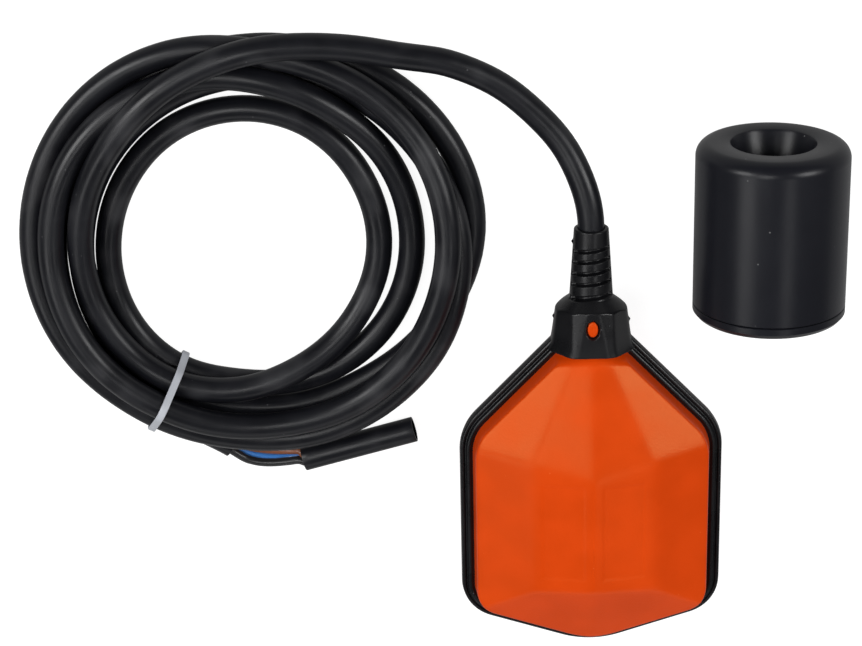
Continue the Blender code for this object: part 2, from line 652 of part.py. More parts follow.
def make_microswitch(case_finish, button_finish):
    """A closed case with two fixing holes, ears and a pin for the lever, and its plunger."""
    low, high = MID_Z - SWITCH_THICKNESS / 2, MID_Z + SWITCH_THICKNESS / 2
    case = add_object("microswitch_case", block(
        (-SWITCH_HALF, SWITCH_LOW_Y, low), (SWITCH_HALF, SWITCH_LOW_Y + SWITCH_LENGTH, high)), case_finish)
    plunger_x, lever_face = lever_point(PLUNGER_ARM, LEVER_THICKNESS / 2)
    tip = lever_face + PLAY
    cut(case, rod(SWITCH_LOW_Y - PLAY, tip + PLUNGER_LENGTH + plunger_travel() + PLAY,
                  PLUNGER_RADIUS + PLAY, (plunger_x, MID_Z), GLAND_SIDES), "plunger_hole")
    ear = LEVER_HALF_WIDTH + PLAY
    for number, side in enumerate((-1, 1)):
        place = (side * SWITCH_HOLE_HALF, SWITCH_LOW_Y + SWITCH_LENGTH / 2)
        cut(case, rod(low - GAP, high + GAP, SWITCH_HOLE_RADIUS, place, GLAND_SIDES, "Z"),
            "fixing_%d" % number)
        near, far = sorted((MID_Z + side * ear, MID_Z + side * (ear + EAR_THICKNESS)))
        fuse(case, block((LEVER_HINGE[0] - EAR_HALF, LEVER_HINGE[1] - EAR_HALF, near),
                         (LEVER_HINGE[0] + EAR_HALF, SWITCH_LOW_Y + EAR_HALF, far)), "ear_%d" % number)
    fuse(case, rod(MID_Z - ear - EAR_THICKNESS / 2, MID_Z + ear + EAR_THICKNESS / 2, LEVER_PIN_RADIUS,
                   LEVER_HINGE, PIN_SIDES, "Z"), "hinge_pin")
    dome = [(tip, PLUNGER_RADIUS * 0.3), (tip + 0.0002, PLUNGER_RADIUS * 0.75),
            (tip + 0.0006, PLUNGER_RADIUS), (tip + PLUNGER_LENGTH, PLUNGER_RADIUS)]
    add_object("switch_plunger", turned(dome, (plunger_x, MID_Z), PIN_SIDES), button_finish)


def make_lever(finish):
    """A spring-steel strip with an eye round its hinge pin and a lip bent back at its far end."""
    eye = LEVER_PIN_RADIUS + PLAY
    low, high = MID_Z - LEVER_HALF_WIDTH, MID_Z + LEVER_HALF_WIDTH
    ring = [(low, eye), (low, eye + LEVER_THICKNESS), (high, eye + LEVER_THICKNESS), (high, eye)]
    lever = add_object("switch_lever", turned(ring, LEVER_HINGE, GLAND_SIDES, "Z", closed=True),
                       finish)
    half = LEVER_THICKNESS / 2
    bend = LEVER_LENGTH + 2 * LEVER_THICKNESS
    strip = [(eye + half, -half), (LEVER_LENGTH, -half), (bend, half), (bend - half, half * 3),
             (LEVER_LENGTH - half, half), (eye + half, half)]
    rings = [[(*lever_point(along, lift), z) for along, lift in strip] for z in (low, high)]
    fuse(lever, loft(rings), "strip")


def make_terminals(finish):
    """Three brass blades with clipped corners, standing out of the switch's rear end."""
    start = SWITCH_LOW_Y + SWITCH_LENGTH + GAP
    clip = BLADE_THICKNESS
    half = [(start, BLADE_HALF_WIDTH), (start + BLADE_LENGTH - clip, BLADE_HALF_WIDTH),
            (start + BLADE_LENGTH, BLADE_HALF_WIDTH - clip)]
    outline = [(y, -z) for y, z in half] + half[::-1]
    for name, x in zip(("terminal_open", "terminal_common", "terminal_closed"), BLADES_X):
        rings = [[(x + side * BLADE_THICKNESS / 2, y, MID_Z + z) for y, z in outline] for side in (-1, 1)]
        add_object(name, loft(rings), finish)


def smooth_route(points, spacing):
    """Reads points off a Catmull-Rom curve through the route, about one for each spacing."""
    route = [Vector(point) for point in points]
    route = [route[0] * 2 - route[1]] + route + [route[-1] * 2 - route[-2]]
    path = []
    for before, start, end, after in zip(route, route[1:], route[2:], route[3:]):
        steps = max(1, round((end - start).length / spacing))
        for step in range(steps):
            t = step / steps
            bend = (2 * before - 5 * start + 4 * end - after) * t**2
            path.append(0.5 * (2 * start + (end - before) * t + bend
                               + (3 * start - before - 3 * end + after) * t**3))
    return path + [route[-2]]


def make_tube(name, points, radius, finish, spacing, resolution=2):
    """A round tube with filled ends along a route."""
    path = smooth_route(points, spacing)
    curve = bpy.data.curves.new(name, "CURVE")
    curve.dimensions = "3D"
    curve.bevel_depth = radius
    curve.bevel_resolution = resolution
    curve.use_fill_caps = True
    spline = curve.splines.new("POLY")
    spline.points.add(len(path) - 1)
    for point, place in zip(spline.points, path):
        point.co = (*place, 1.0)
    curve.materials.append(finish)
    bpy.context.collection.objects.link(bpy.data.objects.new(name, curve))


def core_offsets():
    """Places of the brown, black and blue core in the cable's section, as (across, up)."""
    return [(CORE_OFFSET * cos(angle), CORE_OFFSET * sin(angle))
            for angle in (radians(210), radians(90), radians(330))]


def make_inner_cable(sheath, cores):
    """The cable from the strain relief to its stripped end, and its cores to the three blades."""
    add_object("cable_inside", rod(CABLE_STRIP_Y, CABLE_JOINT_Y - GAP, CABLE_RADIUS, (0.0, MID_Z),
                                   CABLE_SIDES), sheath)
    blade_end = SWITCH_LOW_Y + SWITCH_LENGTH + GAP + BLADE_LENGTH + GAP
    start = CABLE_STRIP_Y - GAP
    hole = CAPSULE_TOP_Y - CAPSULE_WALL
    names = ("inner_core_brown", "inner_core_black", "inner_core_blue")
    for name, (across, up), x, finish in zip(names, core_offsets(), BLADES_X, cores):
        points = [(across, start, MID_Z + up), (across, hole, MID_Z + up),
                  (x * 0.55, (hole + blade_end) / 2, MID_Z + up * 0.5), (x, blade_end + CORE_STRAIGHT, MID_Z),
                  (x, blade_end, MID_Z)]
        make_tube(name, points, CORE_RADIUS, finish, INNER_CORE_SPACING)


def make_clamp(clamp_finish, screw_finish, gland_finish):
    """A saddle over the cable with two slotted screws, and the rubber gland in the neck."""
    low = MID_Z + GAP / 2
    inner, outer = CABLE_RADIUS + GAP, CABLE_RADIUS + GAP + CLAMP_THICKNESS
    arch = [(inner * cos(pi * n / ARCH_STEPS), low + inner * sin(pi * n / ARCH_STEPS))
            for n in range(ARCH_STEPS + 1)]
    shoulder = CLAMP_THICKNESS / outer
    over = [(outer * cos(a), low + outer * sin(a))
            for a in [shoulder + (pi - 2 * shoulder) * n / ARCH_STEPS for n in range(ARCH_STEPS + 1)]]
    outline = ([(CLAMP_HALF, low), (CLAMP_HALF, low + CLAMP_THICKNESS)] + over
               + [(-CLAMP_HALF, low + CLAMP_THICKNESS), (-CLAMP_HALF, low)] + arch[::-1])
    rings = [[(x, y, z) for x, z in outline] for y in (CLAMP_LOW_Y, CLAMP_HIGH_Y)]
    clamp = add_object("cable_clamp", loft(rings), clamp_finish)
    y = (CLAMP_LOW_Y + CLAMP_HIGH_Y) / 2
    seat = low + CLAMP_THICKNESS
    for name, x in (("clamp_screw_left", -SCREW_X), ("clamp_screw_right", SCREW_X)):
        cut(clamp, rod(low - GAP, seat + GAP, SCREW_RADIUS + GAP, (x, y), PIN_SIDES, "Z"), name)
        head = seat + GAP
        tip = MID_Z - SCREW_LENGTH + GAP
        profile = [(tip, SCREW_RADIUS * 0.5), (tip + GAP, SCREW_RADIUS), (head, SCREW_RADIUS),
                   (head, SCREW_HEAD_RADIUS), (head + SCREW_HEAD * 0.6, SCREW_HEAD_RADIUS),
                   (head + SCREW_HEAD, SCREW_HEAD_RADIUS * 0.7)]
        screw = add_object(name, turned(profile, (x, y), GLAND_SIDES, "Z"), screw_finish)
        slot = SCREW_SLOT / 2
        cut(screw, block((x - SCREW_HEAD_RADIUS * 1.2, y - slot, head + SCREW_HEAD / 2),
                         (x + SCREW_HEAD_RADIUS * 1.2, y + slot, head + SCREW_HEAD * 1.2)), "slot")

    inner, outer = CABLE_RADIUS + GAP, NECK_BORE - GAP
    waist = (inner + outer) / 2
    length = GLAND_HIGH_Y - GLAND_LOW_Y
    profile = [(GLAND_LOW_Y, inner), (GLAND_LOW_Y, outer)]
    for share in GLAND_GROOVES_AT:
        y = GLAND_LOW_Y + share * length
        rise = GLAND_GROOVE * length
        profile += [(y - rise, outer), (y - rise / 2, waist), (y + rise / 2, waist), (y + rise, outer)]
    profile += [(GLAND_HIGH_Y, outer), (GLAND_HIGH_Y, inner)]
    add_object("cable_gland", turned(profile, (0.0, MID_Z), GLAND_SIDES, closed=True), gland_finish)


def make_counterweight(shell_finish, ballast_finish):
    """A cup round a conical mouth and bore, its cap with a spigot, and the iron ring between them."""
    centre = (WEIGHT_X, WEIGHT_RADIUS * cos(pi / WEIGHT_SIDES))
    phase = pi / WEIGHT_SIDES
    outer_wall = WEIGHT_RADIUS - WEIGHT_WALL
    cone_low = WEIGHT_HIGH_Y - CONE_DEPTH
    tube = WEIGHT_BORE + TUBE_WALL
    open_end = SEAM_Y + GAP
    fillet = [(WEIGHT_HIGH_Y - WEIGHT_FILLET * (1 - sin(turn)),
               WEIGHT_RADIUS - WEIGHT_FILLET * (1 - cos(turn)))
              for turn in [pi / 2 * n / FILLET_STEPS for n in range(FILLET_STEPS + 1)]]
    lip = WEIGHT_LIP
    profile = [(open_end, WEIGHT_RADIUS)] + fillet + [
        (WEIGHT_HIGH_Y, CONE_RADIUS + lip), (WEIGHT_HIGH_Y - lip, CONE_RADIUS), (cone_low, WEIGHT_BORE),
        (open_end, WEIGHT_BORE), (open_end, tube), (cone_low, tube),
        (WEIGHT_HIGH_Y - WEIGHT_WALL, CONE_RADIUS + TUBE_WALL - lip),
        (WEIGHT_HIGH_Y - WEIGHT_WALL, WEIGHT_RADIUS - WEIGHT_FILLET),
        (WEIGHT_HIGH_Y - WEIGHT_FILLET, outer_wall), (open_end, outer_wall)]
    add_object("counterweight_shell", turned(profile, centre, WEIGHT_SIDES, phase=phase, closed=True),
               shell_finish)

    spigot = outer_wall - GAP
    profile = [(WEIGHT_LOW_Y, WEIGHT_BORE + lip), (WEIGHT_LOW_Y, WEIGHT_RADIUS - CAP_CHAMFER),
               (WEIGHT_LOW_Y + CAP_CHAMFER * 0.4, WEIGHT_RADIUS - CAP_CHAMFER * 0.4),
               (WEIGHT_LOW_Y + CAP_CHAMFER, WEIGHT_RADIUS), (SEAM_Y, WEIGHT_RADIUS), (SEAM_Y, spigot),
               (SEAM_Y + SPIGOT, spigot), (SEAM_Y + SPIGOT, spigot - WEIGHT_WALL),
               (SEAM_Y, spigot - WEIGHT_WALL), (SEAM_Y, WEIGHT_BORE), (WEIGHT_LOW_Y + lip, WEIGHT_BORE)]
    add_object("counterweight_cap", turned(profile, centre, WEIGHT_SIDES, phase=phase, closed=True),
               shell_finish)

    inner, outer = tube + GAP, outer_wall - GAP
    low, high = SEAM_Y + SPIGOT + GAP, cone_low
    profile = [(low, inner), (low, outer), (high, outer), (high, inner)]
    add_object("ballast_ring", turned(profile, centre, BALLAST_SIDES, phase=pi / BALLAST_SIDES, closed=True),
               ballast_finish)


def around_tie(points, half_width):
    """Two rings for a band across the coil at the tie, from (distance to the centre, z) points."""
    out = Vector((cos(TIE_ANGLE), sin(TIE_ANGLE)))
    across = Vector((-out.y, out.x))
    rings = []
    for side in (-half_width, half_width):
        places = [Vector(COIL_CENTRE) + out * radius + across * side for radius, z in points]
        rings.append([(place.x, place.y, z) for place, (radius, z) in zip(places, points)])
    return rings


def tie_band(inner_room, thickness, half_width):
    """The tie as a closed band round the drawn-in turns; negative room reaches into the coil."""
    near, far = COIL_INNER + TIE_SQUEEZE - inner_room, COIL_OUTER + inner_room
    low, high = TIE_THICKNESS + 2 * GAP - inner_room, COIL_HEIGHT - TIE_SQUEEZE + inner_room
    inner = [(near, low, TIE_EDGE), (far, low, TIE_EDGE), (far, high, TIE_EDGE), (near, high, TIE_EDGE)]
    first, second = around_tie(rounded_outline(inner, 4), half_width)
    third, fourth = around_tie(rounded_outline(inset_corners(inner, -thickness), 4), half_width)
    return loft([first, second, fourth, third], closed=True)


def make_coil(sheath, tie_finish):
    """The coil as one turned ring with rounded edges, notched where the tie passes round it."""
    corners = [(COIL_INNER, 0.0, COIL_EDGE), (COIL_OUTER, 0.0, COIL_EDGE),
               (COIL_OUTER, COIL_HEIGHT, COIL_EDGE), (COIL_INNER, COIL_HEIGHT, COIL_EDGE)]
    section = rounded_outline(corners, 3)
    profile = [(z, radius) for radius, z in section]
    coil = add_object("cable_coil", turned(profile, COIL_CENTRE, COIL_SIDES, "Z", closed=True), sheath)
    cut(coil, tie_band(-GAP, TIE_SQUEEZE + 3 * TIE_THICKNESS, TIE_WIDTH / 2 + GAP), "tie_notch")
    add_object("cable_tie", tie_band(0.0, TIE_THICKNESS, TIE_WIDTH / 2), tie_finish)


def make_tail(sheath, cores):
    """The bared cores and the cut piece of sheath that is pushed over their ends."""
    start, end = Vector((*SLEEVE_START, CABLE_RADIUS)), Vector((*SLEEVE_END, CABLE_RADIUS))
    along = (end - start).normalized()
    across = Vector((-along.y, along.x, 0))
    up = Vector((0, 0, 1))
    rings = []
    turns = [2 * pi * n / CABLE_SIDES for n in range(CABLE_SIDES)]
    for centre, radius in ((start, SLEEVE_BORE), (start, CABLE_RADIUS), (end, CABLE_RADIUS),
                           (end, SLEEVE_BORE)):
        rings.append([centre + (across * cos(turn) + up * sin(turn)) * radius for turn in turns])
    add_object("sheath_sleeve", loft(rings, closed=True), sheath)
    routes = (("tail_core_brown", BROWN_ROUTE, radians(330)), ("tail_core_black", BLACK_ROUTE, radians(210)),
              ("tail_core_blue", BLUE_ROUTE, radians(90)))
    for (name, route, angle), finish in zip(routes, cores):
        offset = across * (CORE_OFFSET * cos(angle)) + up * (CORE_OFFSET * sin(angle))
        points = [*route, start + offset, start + along * CORE_ENTRY + offset,
                  end - along * CORE_SHORT + offset]
        make_tube(name, points, CORE_RADIUS, finish, TAIL_CORE_SPACING)


def main():
    for old in list(bpy.data.objects):
        bpy.data.objects.remove(old, do_unlink=True)
    orange = material("orange_polypropylene", (0.80, 0.10, 0.012), 0.45)
    soft_black = material("soft_black", (0.016, 0.016, 0.018), 0.55)
    black = material("black_plastic", (0.012, 0.012, 0.014), 0.4)
    sheath = material("cable_sheath", (0.010, 0.010, 0.011), 0.45)
    capsule = material("capsule_plastic", (0.75, 0.74, 0.70), 0.5)
    case = material("switch_case", (0.05, 0.05, 0.055), 0.5)
    button = material("switch_button", (0.60, 0.02, 0.02), 0.4)
    steel = material("steel", (0.65, 0.65, 0.66), 0.25, 1.0)
    brass = material("brass", (0.75, 0.55, 0.20), 0.3, 1.0)
    iron = material("cast_iron", (0.12, 0.12, 0.12), 0.7, 0.8)
    nylon = material("nylon_tie", (0.62, 0.63, 0.65), 0.45)
    cores = (material("core_brown", (0.25, 0.07, 0.02), 0.4),
             material("core_black", (0.02, 0.02, 0.02), 0.4),
             material("core_blue", (0.03, 0.10, 0.40), 0.4))

    make_shell("front_shell", 1, orange)
    make_shell("rear_shell", -1, orange)
    make_boot(soft_black)
    make_capsule(capsule)
    ball = bmesh.new()
    bmesh.ops.create_icosphere(ball, subdivisions=3, radius=BALL_RADIUS)
    add_object("steel_ball", ball, steel).location = (
        0.0, ball_start_y(), MID_Z - CAPSULE_RISE + CAPSULE_WALL + PLAY + BALL_RADIUS)
    make_microswitch(case, button)
    make_lever(steel)
    make_terminals(brass)
    make_inner_cable(sheath, cores)
    make_clamp(capsule, steel, soft_black)
    make_counterweight(black, iron)
    make_coil(sheath, nylon)
    make_tube("cable_lead", LEAD_ROUTE, CABLE_RADIUS, sheath, LEAD_SPACING, 3)
    make_tail(sheath, cores)


main()
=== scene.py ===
"""Looks of the cable float switch: soft-edged float, whole cable, tie, counterweight and finishes.

Metres, +Z up, in the frame of the solids: X = 0 is the float's axis, +Y its cable end, Z = 0 the
surface that everything lies on. Places on the coil are read along the camera's lines of sight.
"""
from math import cos, hypot, pi, radians, sin, tan

import bmesh
import bpy
import numpy as np
from mathutils import Euler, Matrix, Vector


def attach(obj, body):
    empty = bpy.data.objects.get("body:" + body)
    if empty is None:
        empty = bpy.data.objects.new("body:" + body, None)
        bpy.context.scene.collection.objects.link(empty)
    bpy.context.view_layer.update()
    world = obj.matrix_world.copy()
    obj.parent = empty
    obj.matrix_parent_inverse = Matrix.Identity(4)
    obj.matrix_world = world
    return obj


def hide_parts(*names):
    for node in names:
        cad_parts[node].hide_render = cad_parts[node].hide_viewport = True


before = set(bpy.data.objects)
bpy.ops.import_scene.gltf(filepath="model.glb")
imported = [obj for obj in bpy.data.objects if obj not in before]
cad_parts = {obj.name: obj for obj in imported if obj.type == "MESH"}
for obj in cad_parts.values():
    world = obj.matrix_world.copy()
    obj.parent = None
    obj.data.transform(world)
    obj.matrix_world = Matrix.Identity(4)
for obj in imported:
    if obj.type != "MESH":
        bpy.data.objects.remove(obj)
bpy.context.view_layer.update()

# Camera, solved from the photograph's perspective
IMAGE_WIDTH, IMAGE_HEIGHT = 862, 646
CAMERA_PLACE = np.array((-0.042497, 0.342739, 0.715388))
CAMERA_TURN = (radians(-22), 0.0, radians(-1.2))
CAMERA_LENS, CAMERA_SENSOR = 103.554, 36.0

# Float, as its solids have it but for the seat, the pads' depth and the soft edges
GAP = 0.0003
MID_Z = 0.0198176
HALF = 0.02075
BODY_HALF_WIDTH = 0.0405
TIP_Y, FOOT_Y, SHOULDER_Y, NECK_END_Y = -0.0482, -0.0350, 0.0270, 0.0600
NECK_END_HALF = 0.0090
TIP_RADIUS, FOOT_RADIUS, SHOULDER_RADIUS, NECK_END_RADIUS = 0.0300, 0.0130, 0.0180, 0.0020
SHELL_INSET = 0.0038
SHELL_WALL = 0.0022
DRAFT = radians(6.5)
EDGE_RISE = 0.0095
CROWN_Y, FOLD_Y = 0.0172, -0.0205
FACET_HALF, FACET_DROP, FACET_BEND_Y, EDGE_BEND_Y = 0.0185, 0.00345, 0.0215, 0.0234
TOP_HALF, TOP_Y, TOP_RISE = 0.0058, 0.0510, 0.0114
SEAT_RADIUS, SEAT_REACH = 0.0100, 0.0030    # seat under the collar: at the rim, and how far it flares
REST_PAD_HALF = 0.0050
PAD_INNER, PAD_OUTER, PAD_LOW, PAD_HIGH = 0.0028, 0.0156, -0.0165, 0.0150
PAD_DEPTH, PAD_SOFT = 0.00014, 0.0007
EDGE_SOFT = 0.00022          # roundness of the facets' edges
BAND_HALF, BEAD_RISE = 0.0023, 0.0031
NECK_RADIUS, NECK_BORE, NECK_START_Y, NECK_STOP_Y = 0.0090, 0.0065, 0.0490, 0.0652

# Collar and strain relief of the boot
COLLAR_Y, COLLAR_RADIUS, COLLAR_TOP_Y, COLLAR_TOP_RADIUS = 0.0536, 0.0125, 0.0672, 0.0109
PANEL_RISE, PANEL_TOP_RISE, PANEL_HALF, PANEL_TOP_HALF = 0.01146, 0.0102, 0.0050, 0.0021
FLANK_TILT, SLANT_TURN, SLANT_SHARE = radians(18), radians(36.8), 0.944
FLAT_SOFT = 0.00012          # roundness of the edges between the collar's flats
SHOULDER_DIP, RELIEF_DIP = 0.0012, 0.0006
RIM_FLARE, RIM_FLARE_REACH, RIM_EDGE = 0.0012, 0.0014, 0.0004
RELIEF_Y, RELIEF_RADIUS, MOUTH_Y, MOUTH_RADIUS = 0.0702, 0.0066, 0.0915, 0.0052
GROOVES_Y = (0.0712, 0.0755, 0.0789, 0.0825, 0.0858)
GROOVE_DEPTH, GROOVE_HALF, GROOVE_FLOOR = 0.0014, 0.00052, 0.00435
GROOVE_TILT, GROOVE_SINK, GROOVE_END, GROOVE_END_SOFT = 0.00064, 0.00053, 0.27, 0.10
FIRST_GROOVE = 1.25          # the slot beside the shoulder is wider by this
STUD_Y, STUD_HALF_X, STUD_HALF_Y, STUD_RISE, STUD_ROOM = 0.0625, 0.00160, 0.00245, 0.0101, 0.0004
EYE_SOFT = 0.09              # softness of the eye's edge, as a share of its size
LUMPS = ((pi, 0.0635), (2 * pi, 0.0620), (pi, 0.0873))    # moulding lumps: turn about the axis, y
LUMP_RISE, LUMP_REACH = 0.0005, 0.0006

# Counterweight
WEIGHT_X, WEIGHT_RADIUS = 0.0531, 0.02275
WEIGHT_LOW_Y, WEIGHT_HIGH_Y, SEAM_Y = 0.0643, 0.1180, 0.0680
WEIGHT_FILLET, WEIGHT_WALL, CAP_CHAMFER = 0.0042, 0.0020, 0.0016
SEAM_GAP, WEIGHT_EDGE = 0.00025, 0.0002
CONE_RADIUS, CONE_DEPTH, WEIGHT_BORE, CONE_WALL = 0.0124, 0.0260, 0.0055, 0.0016

# Cable: route of the free lead, then the coil's turns
CABLE_RADIUS = 0.0040
LEAD_ROUTE = (
    (0.0000, 0.0890, MID_Z), (0.0000, 0.0935, MID_Z), (-0.0010, 0.1003, 0.0192),
    (-0.0042, 0.1092, 0.0178), (-0.0091, 0.1179, 0.0160), (-0.0179, 0.1273, 0.0145),
    (-0.0266, 0.1344, 0.0140), (-0.0368, 0.1398, 0.0147), (-0.0470, 0.1436, 0.0158),
)
COIL_PIXEL = (246, 246)      # the coil's middle in the photograph
# How the turns lie as the camera sees them: unwound angle in degrees, distance from COIL_PIXEL in pixels
VISIBLE_LAY = (
    (49, 248), (60, 225), (75, 205), (90, 193), (105, 183), (120, 177), (135, 172), (150, 170),
    (180, 166), (210, 161), (240, 155), (255, 149), (270, 143), (285, 136), (300, 132), (330, 130),
    (360, 134), (390, 134), (420, 137), (450, 138), (480, 139), (540, 139), (570, 140), (600, 140),
    (625, 133), (640, 140), (660, 149), (675, 153), (690, 160), (705, 164), (720, 167), (750, 167),
    (765, 164), (780, 161), (795, 163), (810, 168), (825, 175), (850, 188), (870, 195), (885, 198),
    (900, 196), (930, 192), (960, 183), (990, 180), (1005, 182), (1020, 190), (1050, 200),
    (1080, 204), (1110, 201), (1140, 194), (1155, 190), (1170, 192), (1185, 205), (1200, 210),
    (1215, 215), (1240, 217), (1260, 213), (1290, 203), (1305, 196), (1320, 190), (1350, 190),
    (1365, 198), (1380, 204), (1410, 215), (1440, 215),
)
HIDDEN_LAY = ((1470, 206), (1500, 190), (1530, 174), (1560, 172), (1620, 168))    # under other turns
LAST_LAY = (                 # the last turn, in sight again at first, to the cable's end
    (1680, 162), (1710, 160), (1725, 162), (1734, 166), (1744, 172), (1757, 183), (1770, 197),
    (1785, 213), (1800, 227), (1815, 231), (1830, 227), (1845, 219), (1860, 209), (1875, 205),
    (1890, 199), (1920, 196), (1980, 184), (2010, 178), (2030, 176), (2049, 179), (2058, 187),
    (2066.4, 199.5),
)
HIDDEN_AGAIN = 1890          # where the last turn passes out of sight, in degrees
END_IN_VIEW = 14             # degrees of the cable's end that keep to their lines of sight
LAY_MARGIN = 10              # degrees at each end of the hidden lay that still count as seen
COIL_STEP = 3.0              # degrees between two points of a turn
SLICES = round(360 / COIL_STEP)
CABLE_STEP = 0.0025          # distance between two rings of the cable

# How the turns settle in rounds: how far they sink in one, less after the share SLOW_FROM of them,
# and the share of a stray offset that goes in one, where the camera sees the cable and where not
ROUNDS, SINK, LAST_SINK, SLOW_FROM = 700, 0.00012, 0.00004, 0.8
STRAY_SEEN, STRAY_HIDDEN = 0.35, 0.03
START_RISE = 0.0055          # how much higher a turn starts than the next one
PUSH, ROOM = 0.18, 1.012     # share of an overlap that one push takes away; diameters between two turns

# Tie, where the photograph shows it cross the bundle, and the heights of those two places
TIE_INNER, TIE_OUTER = (181.0, 371.0, 0.0160), (152.0, 424.0, 0.0080)
TIE_TURN, TIE_REACH = 241, 7    # degrees round the coil: its place, and how far it lifts the turns
TIE_WIDTH, TIE_THICKNESS, TIE_ROOM, TIE_PLAY = 0.0023, 0.0010, 0.0005, 0.0001
COIL_SIDE = 0.02             # strands further inwards than this belong to the coil's other side

# Bared cores: places in the photograph and heights, from the sheath's end to the sleeve
CORE_RADIUS, CORE_OFFSET, CORE_INSIDE = 0.0013, 0.0016, 0.0050    # offset in the cable, length in its end
BLACK_LAY = ((240, 455.2, 0.0046), (248, 459.2, 0.0044), (260, 461.9, 0.0044), (273, 462.4, 0.0044),
             (288, 461.2, 0.0044), (299, 460.0, 0.0046))
BLUE_LAY = ((241, 448.5, 0.0020), (249, 452.8, 0.0018), (259, 456.2, 0.0016), (271, 457.8, 0.0016),
            (285, 457.6, 0.0016), (298, 455.4, 0.0021))
BROWN_LAY = ((243, 444.5, 0.0046), (251, 447.0, 0.0034), (262, 448.8, 0.0022), (275, 449.9, 0.0020),
             (288, 450.2, 0.0022), (299, 450.6, 0.0036))
CORES = (("brown", BROWN_LAY, 150), ("black", BLACK_LAY, 30), ("blue", BLUE_LAY, 270))
SLEEVE_START, SLEEVE_END, SLEEVE_BORE = (-0.0897, 0.0101, 0.0040), (-0.0545, 0.0195, 0.0040), 0.0033

CHALK = 0.26                 # how far the sheath's chalky patches go towards the colour of a scuff


def camera_axes():
    """R, which turns the camera's own axes into the scene's."""
    return np.array(Euler(CAMERA_TURN).to_matrix())


def sight(across, down, height):
    """Place at a height on the line of sight through a pixel of the photograph.

    The line leaves the camera along R·(u/f, -v/f, -1), u and v measured from the middle of the image,
    and is followed until its z reaches the height.
    """
    focal = CAMERA_LENS / CAMERA_SENSOR * IMAGE_WIDTH
    line = np.stack([(across - IMAGE_WIDTH / 2) / focal, (IMAGE_HEIGHT / 2 - down) / focal,
                     -np.ones_like(across)], axis=-1) @ camera_axes().T
    return CAMERA_PLACE + line * ((height - CAMERA_PLACE[2]) / line[..., 2])[..., None]


def unit(vectors):
    return vectors / np.linalg.norm(vectors, axis=-1, keepdims=True)


def smooth_route(points, spacing):
    """Catmull-Rom curve through the points: cubic pieces whose slope at a point is half the way
    from the point before it to the point after it."""
    points = np.array(points, float)
    padded = np.vstack([2 * points[0] - points[1], points, 2 * points[-1] - points[-2]])
    path = []
    for before, start, end, after in zip(padded, padded[1:], padded[2:], padded[3:]):
        count = max(2, round(np.linalg.norm(end - start) / spacing))
        t = np.arange(count)[:, None] / count
        path.append(0.5 * (2 * start + (end - before) * t + (2 * before - 5 * start + 4 * end - after) * t**2
                           + (3 * start - before - 3 * end + after) * t**3))
    return np.vstack(path + [points[-1:]])


def distance_along(path):
    return np.concatenate([[0.0], np.cumsum(np.linalg.norm(np.diff(path[:, :3], axis=0), axis=1))])


def even_steps(path, spacing):
    """The same line with points at equal distances along it; columns past the third are carried along."""
    along = distance_along(path)
    marks = np.linspace(0, along[-1], round(along[-1] / spacing) + 1)
    return np.stack([np.interp(marks, along, column) for column in path.T], axis=1)


def softened(values, times, share=0.25):
    """Each value moves towards the mean of its two neighbours; the ends stay."""
    for _ in range(times):
        values[1:-1] += share * (values[:-2] + values[2:] - 2 * values[1:-1])
    return values


def smooth_step(value, width):
    """0 below -width, 1 above width, and 3s² - 2s³ of the share s of the way between."""
    share = np.clip(value / width * 0.5 + 0.5, 0, 1)
    return share * share * (3 - 2 * share)


def soft_least(values, soft):
    """Least of several arrays with the joins between them rounded: -soft·log(sum(exp(-value/soft)))."""
    values = np.stack(values)
    least = values.min(axis=0)
    return least - soft * np.log(np.exp(-(values - least) / soft).sum(axis=0))


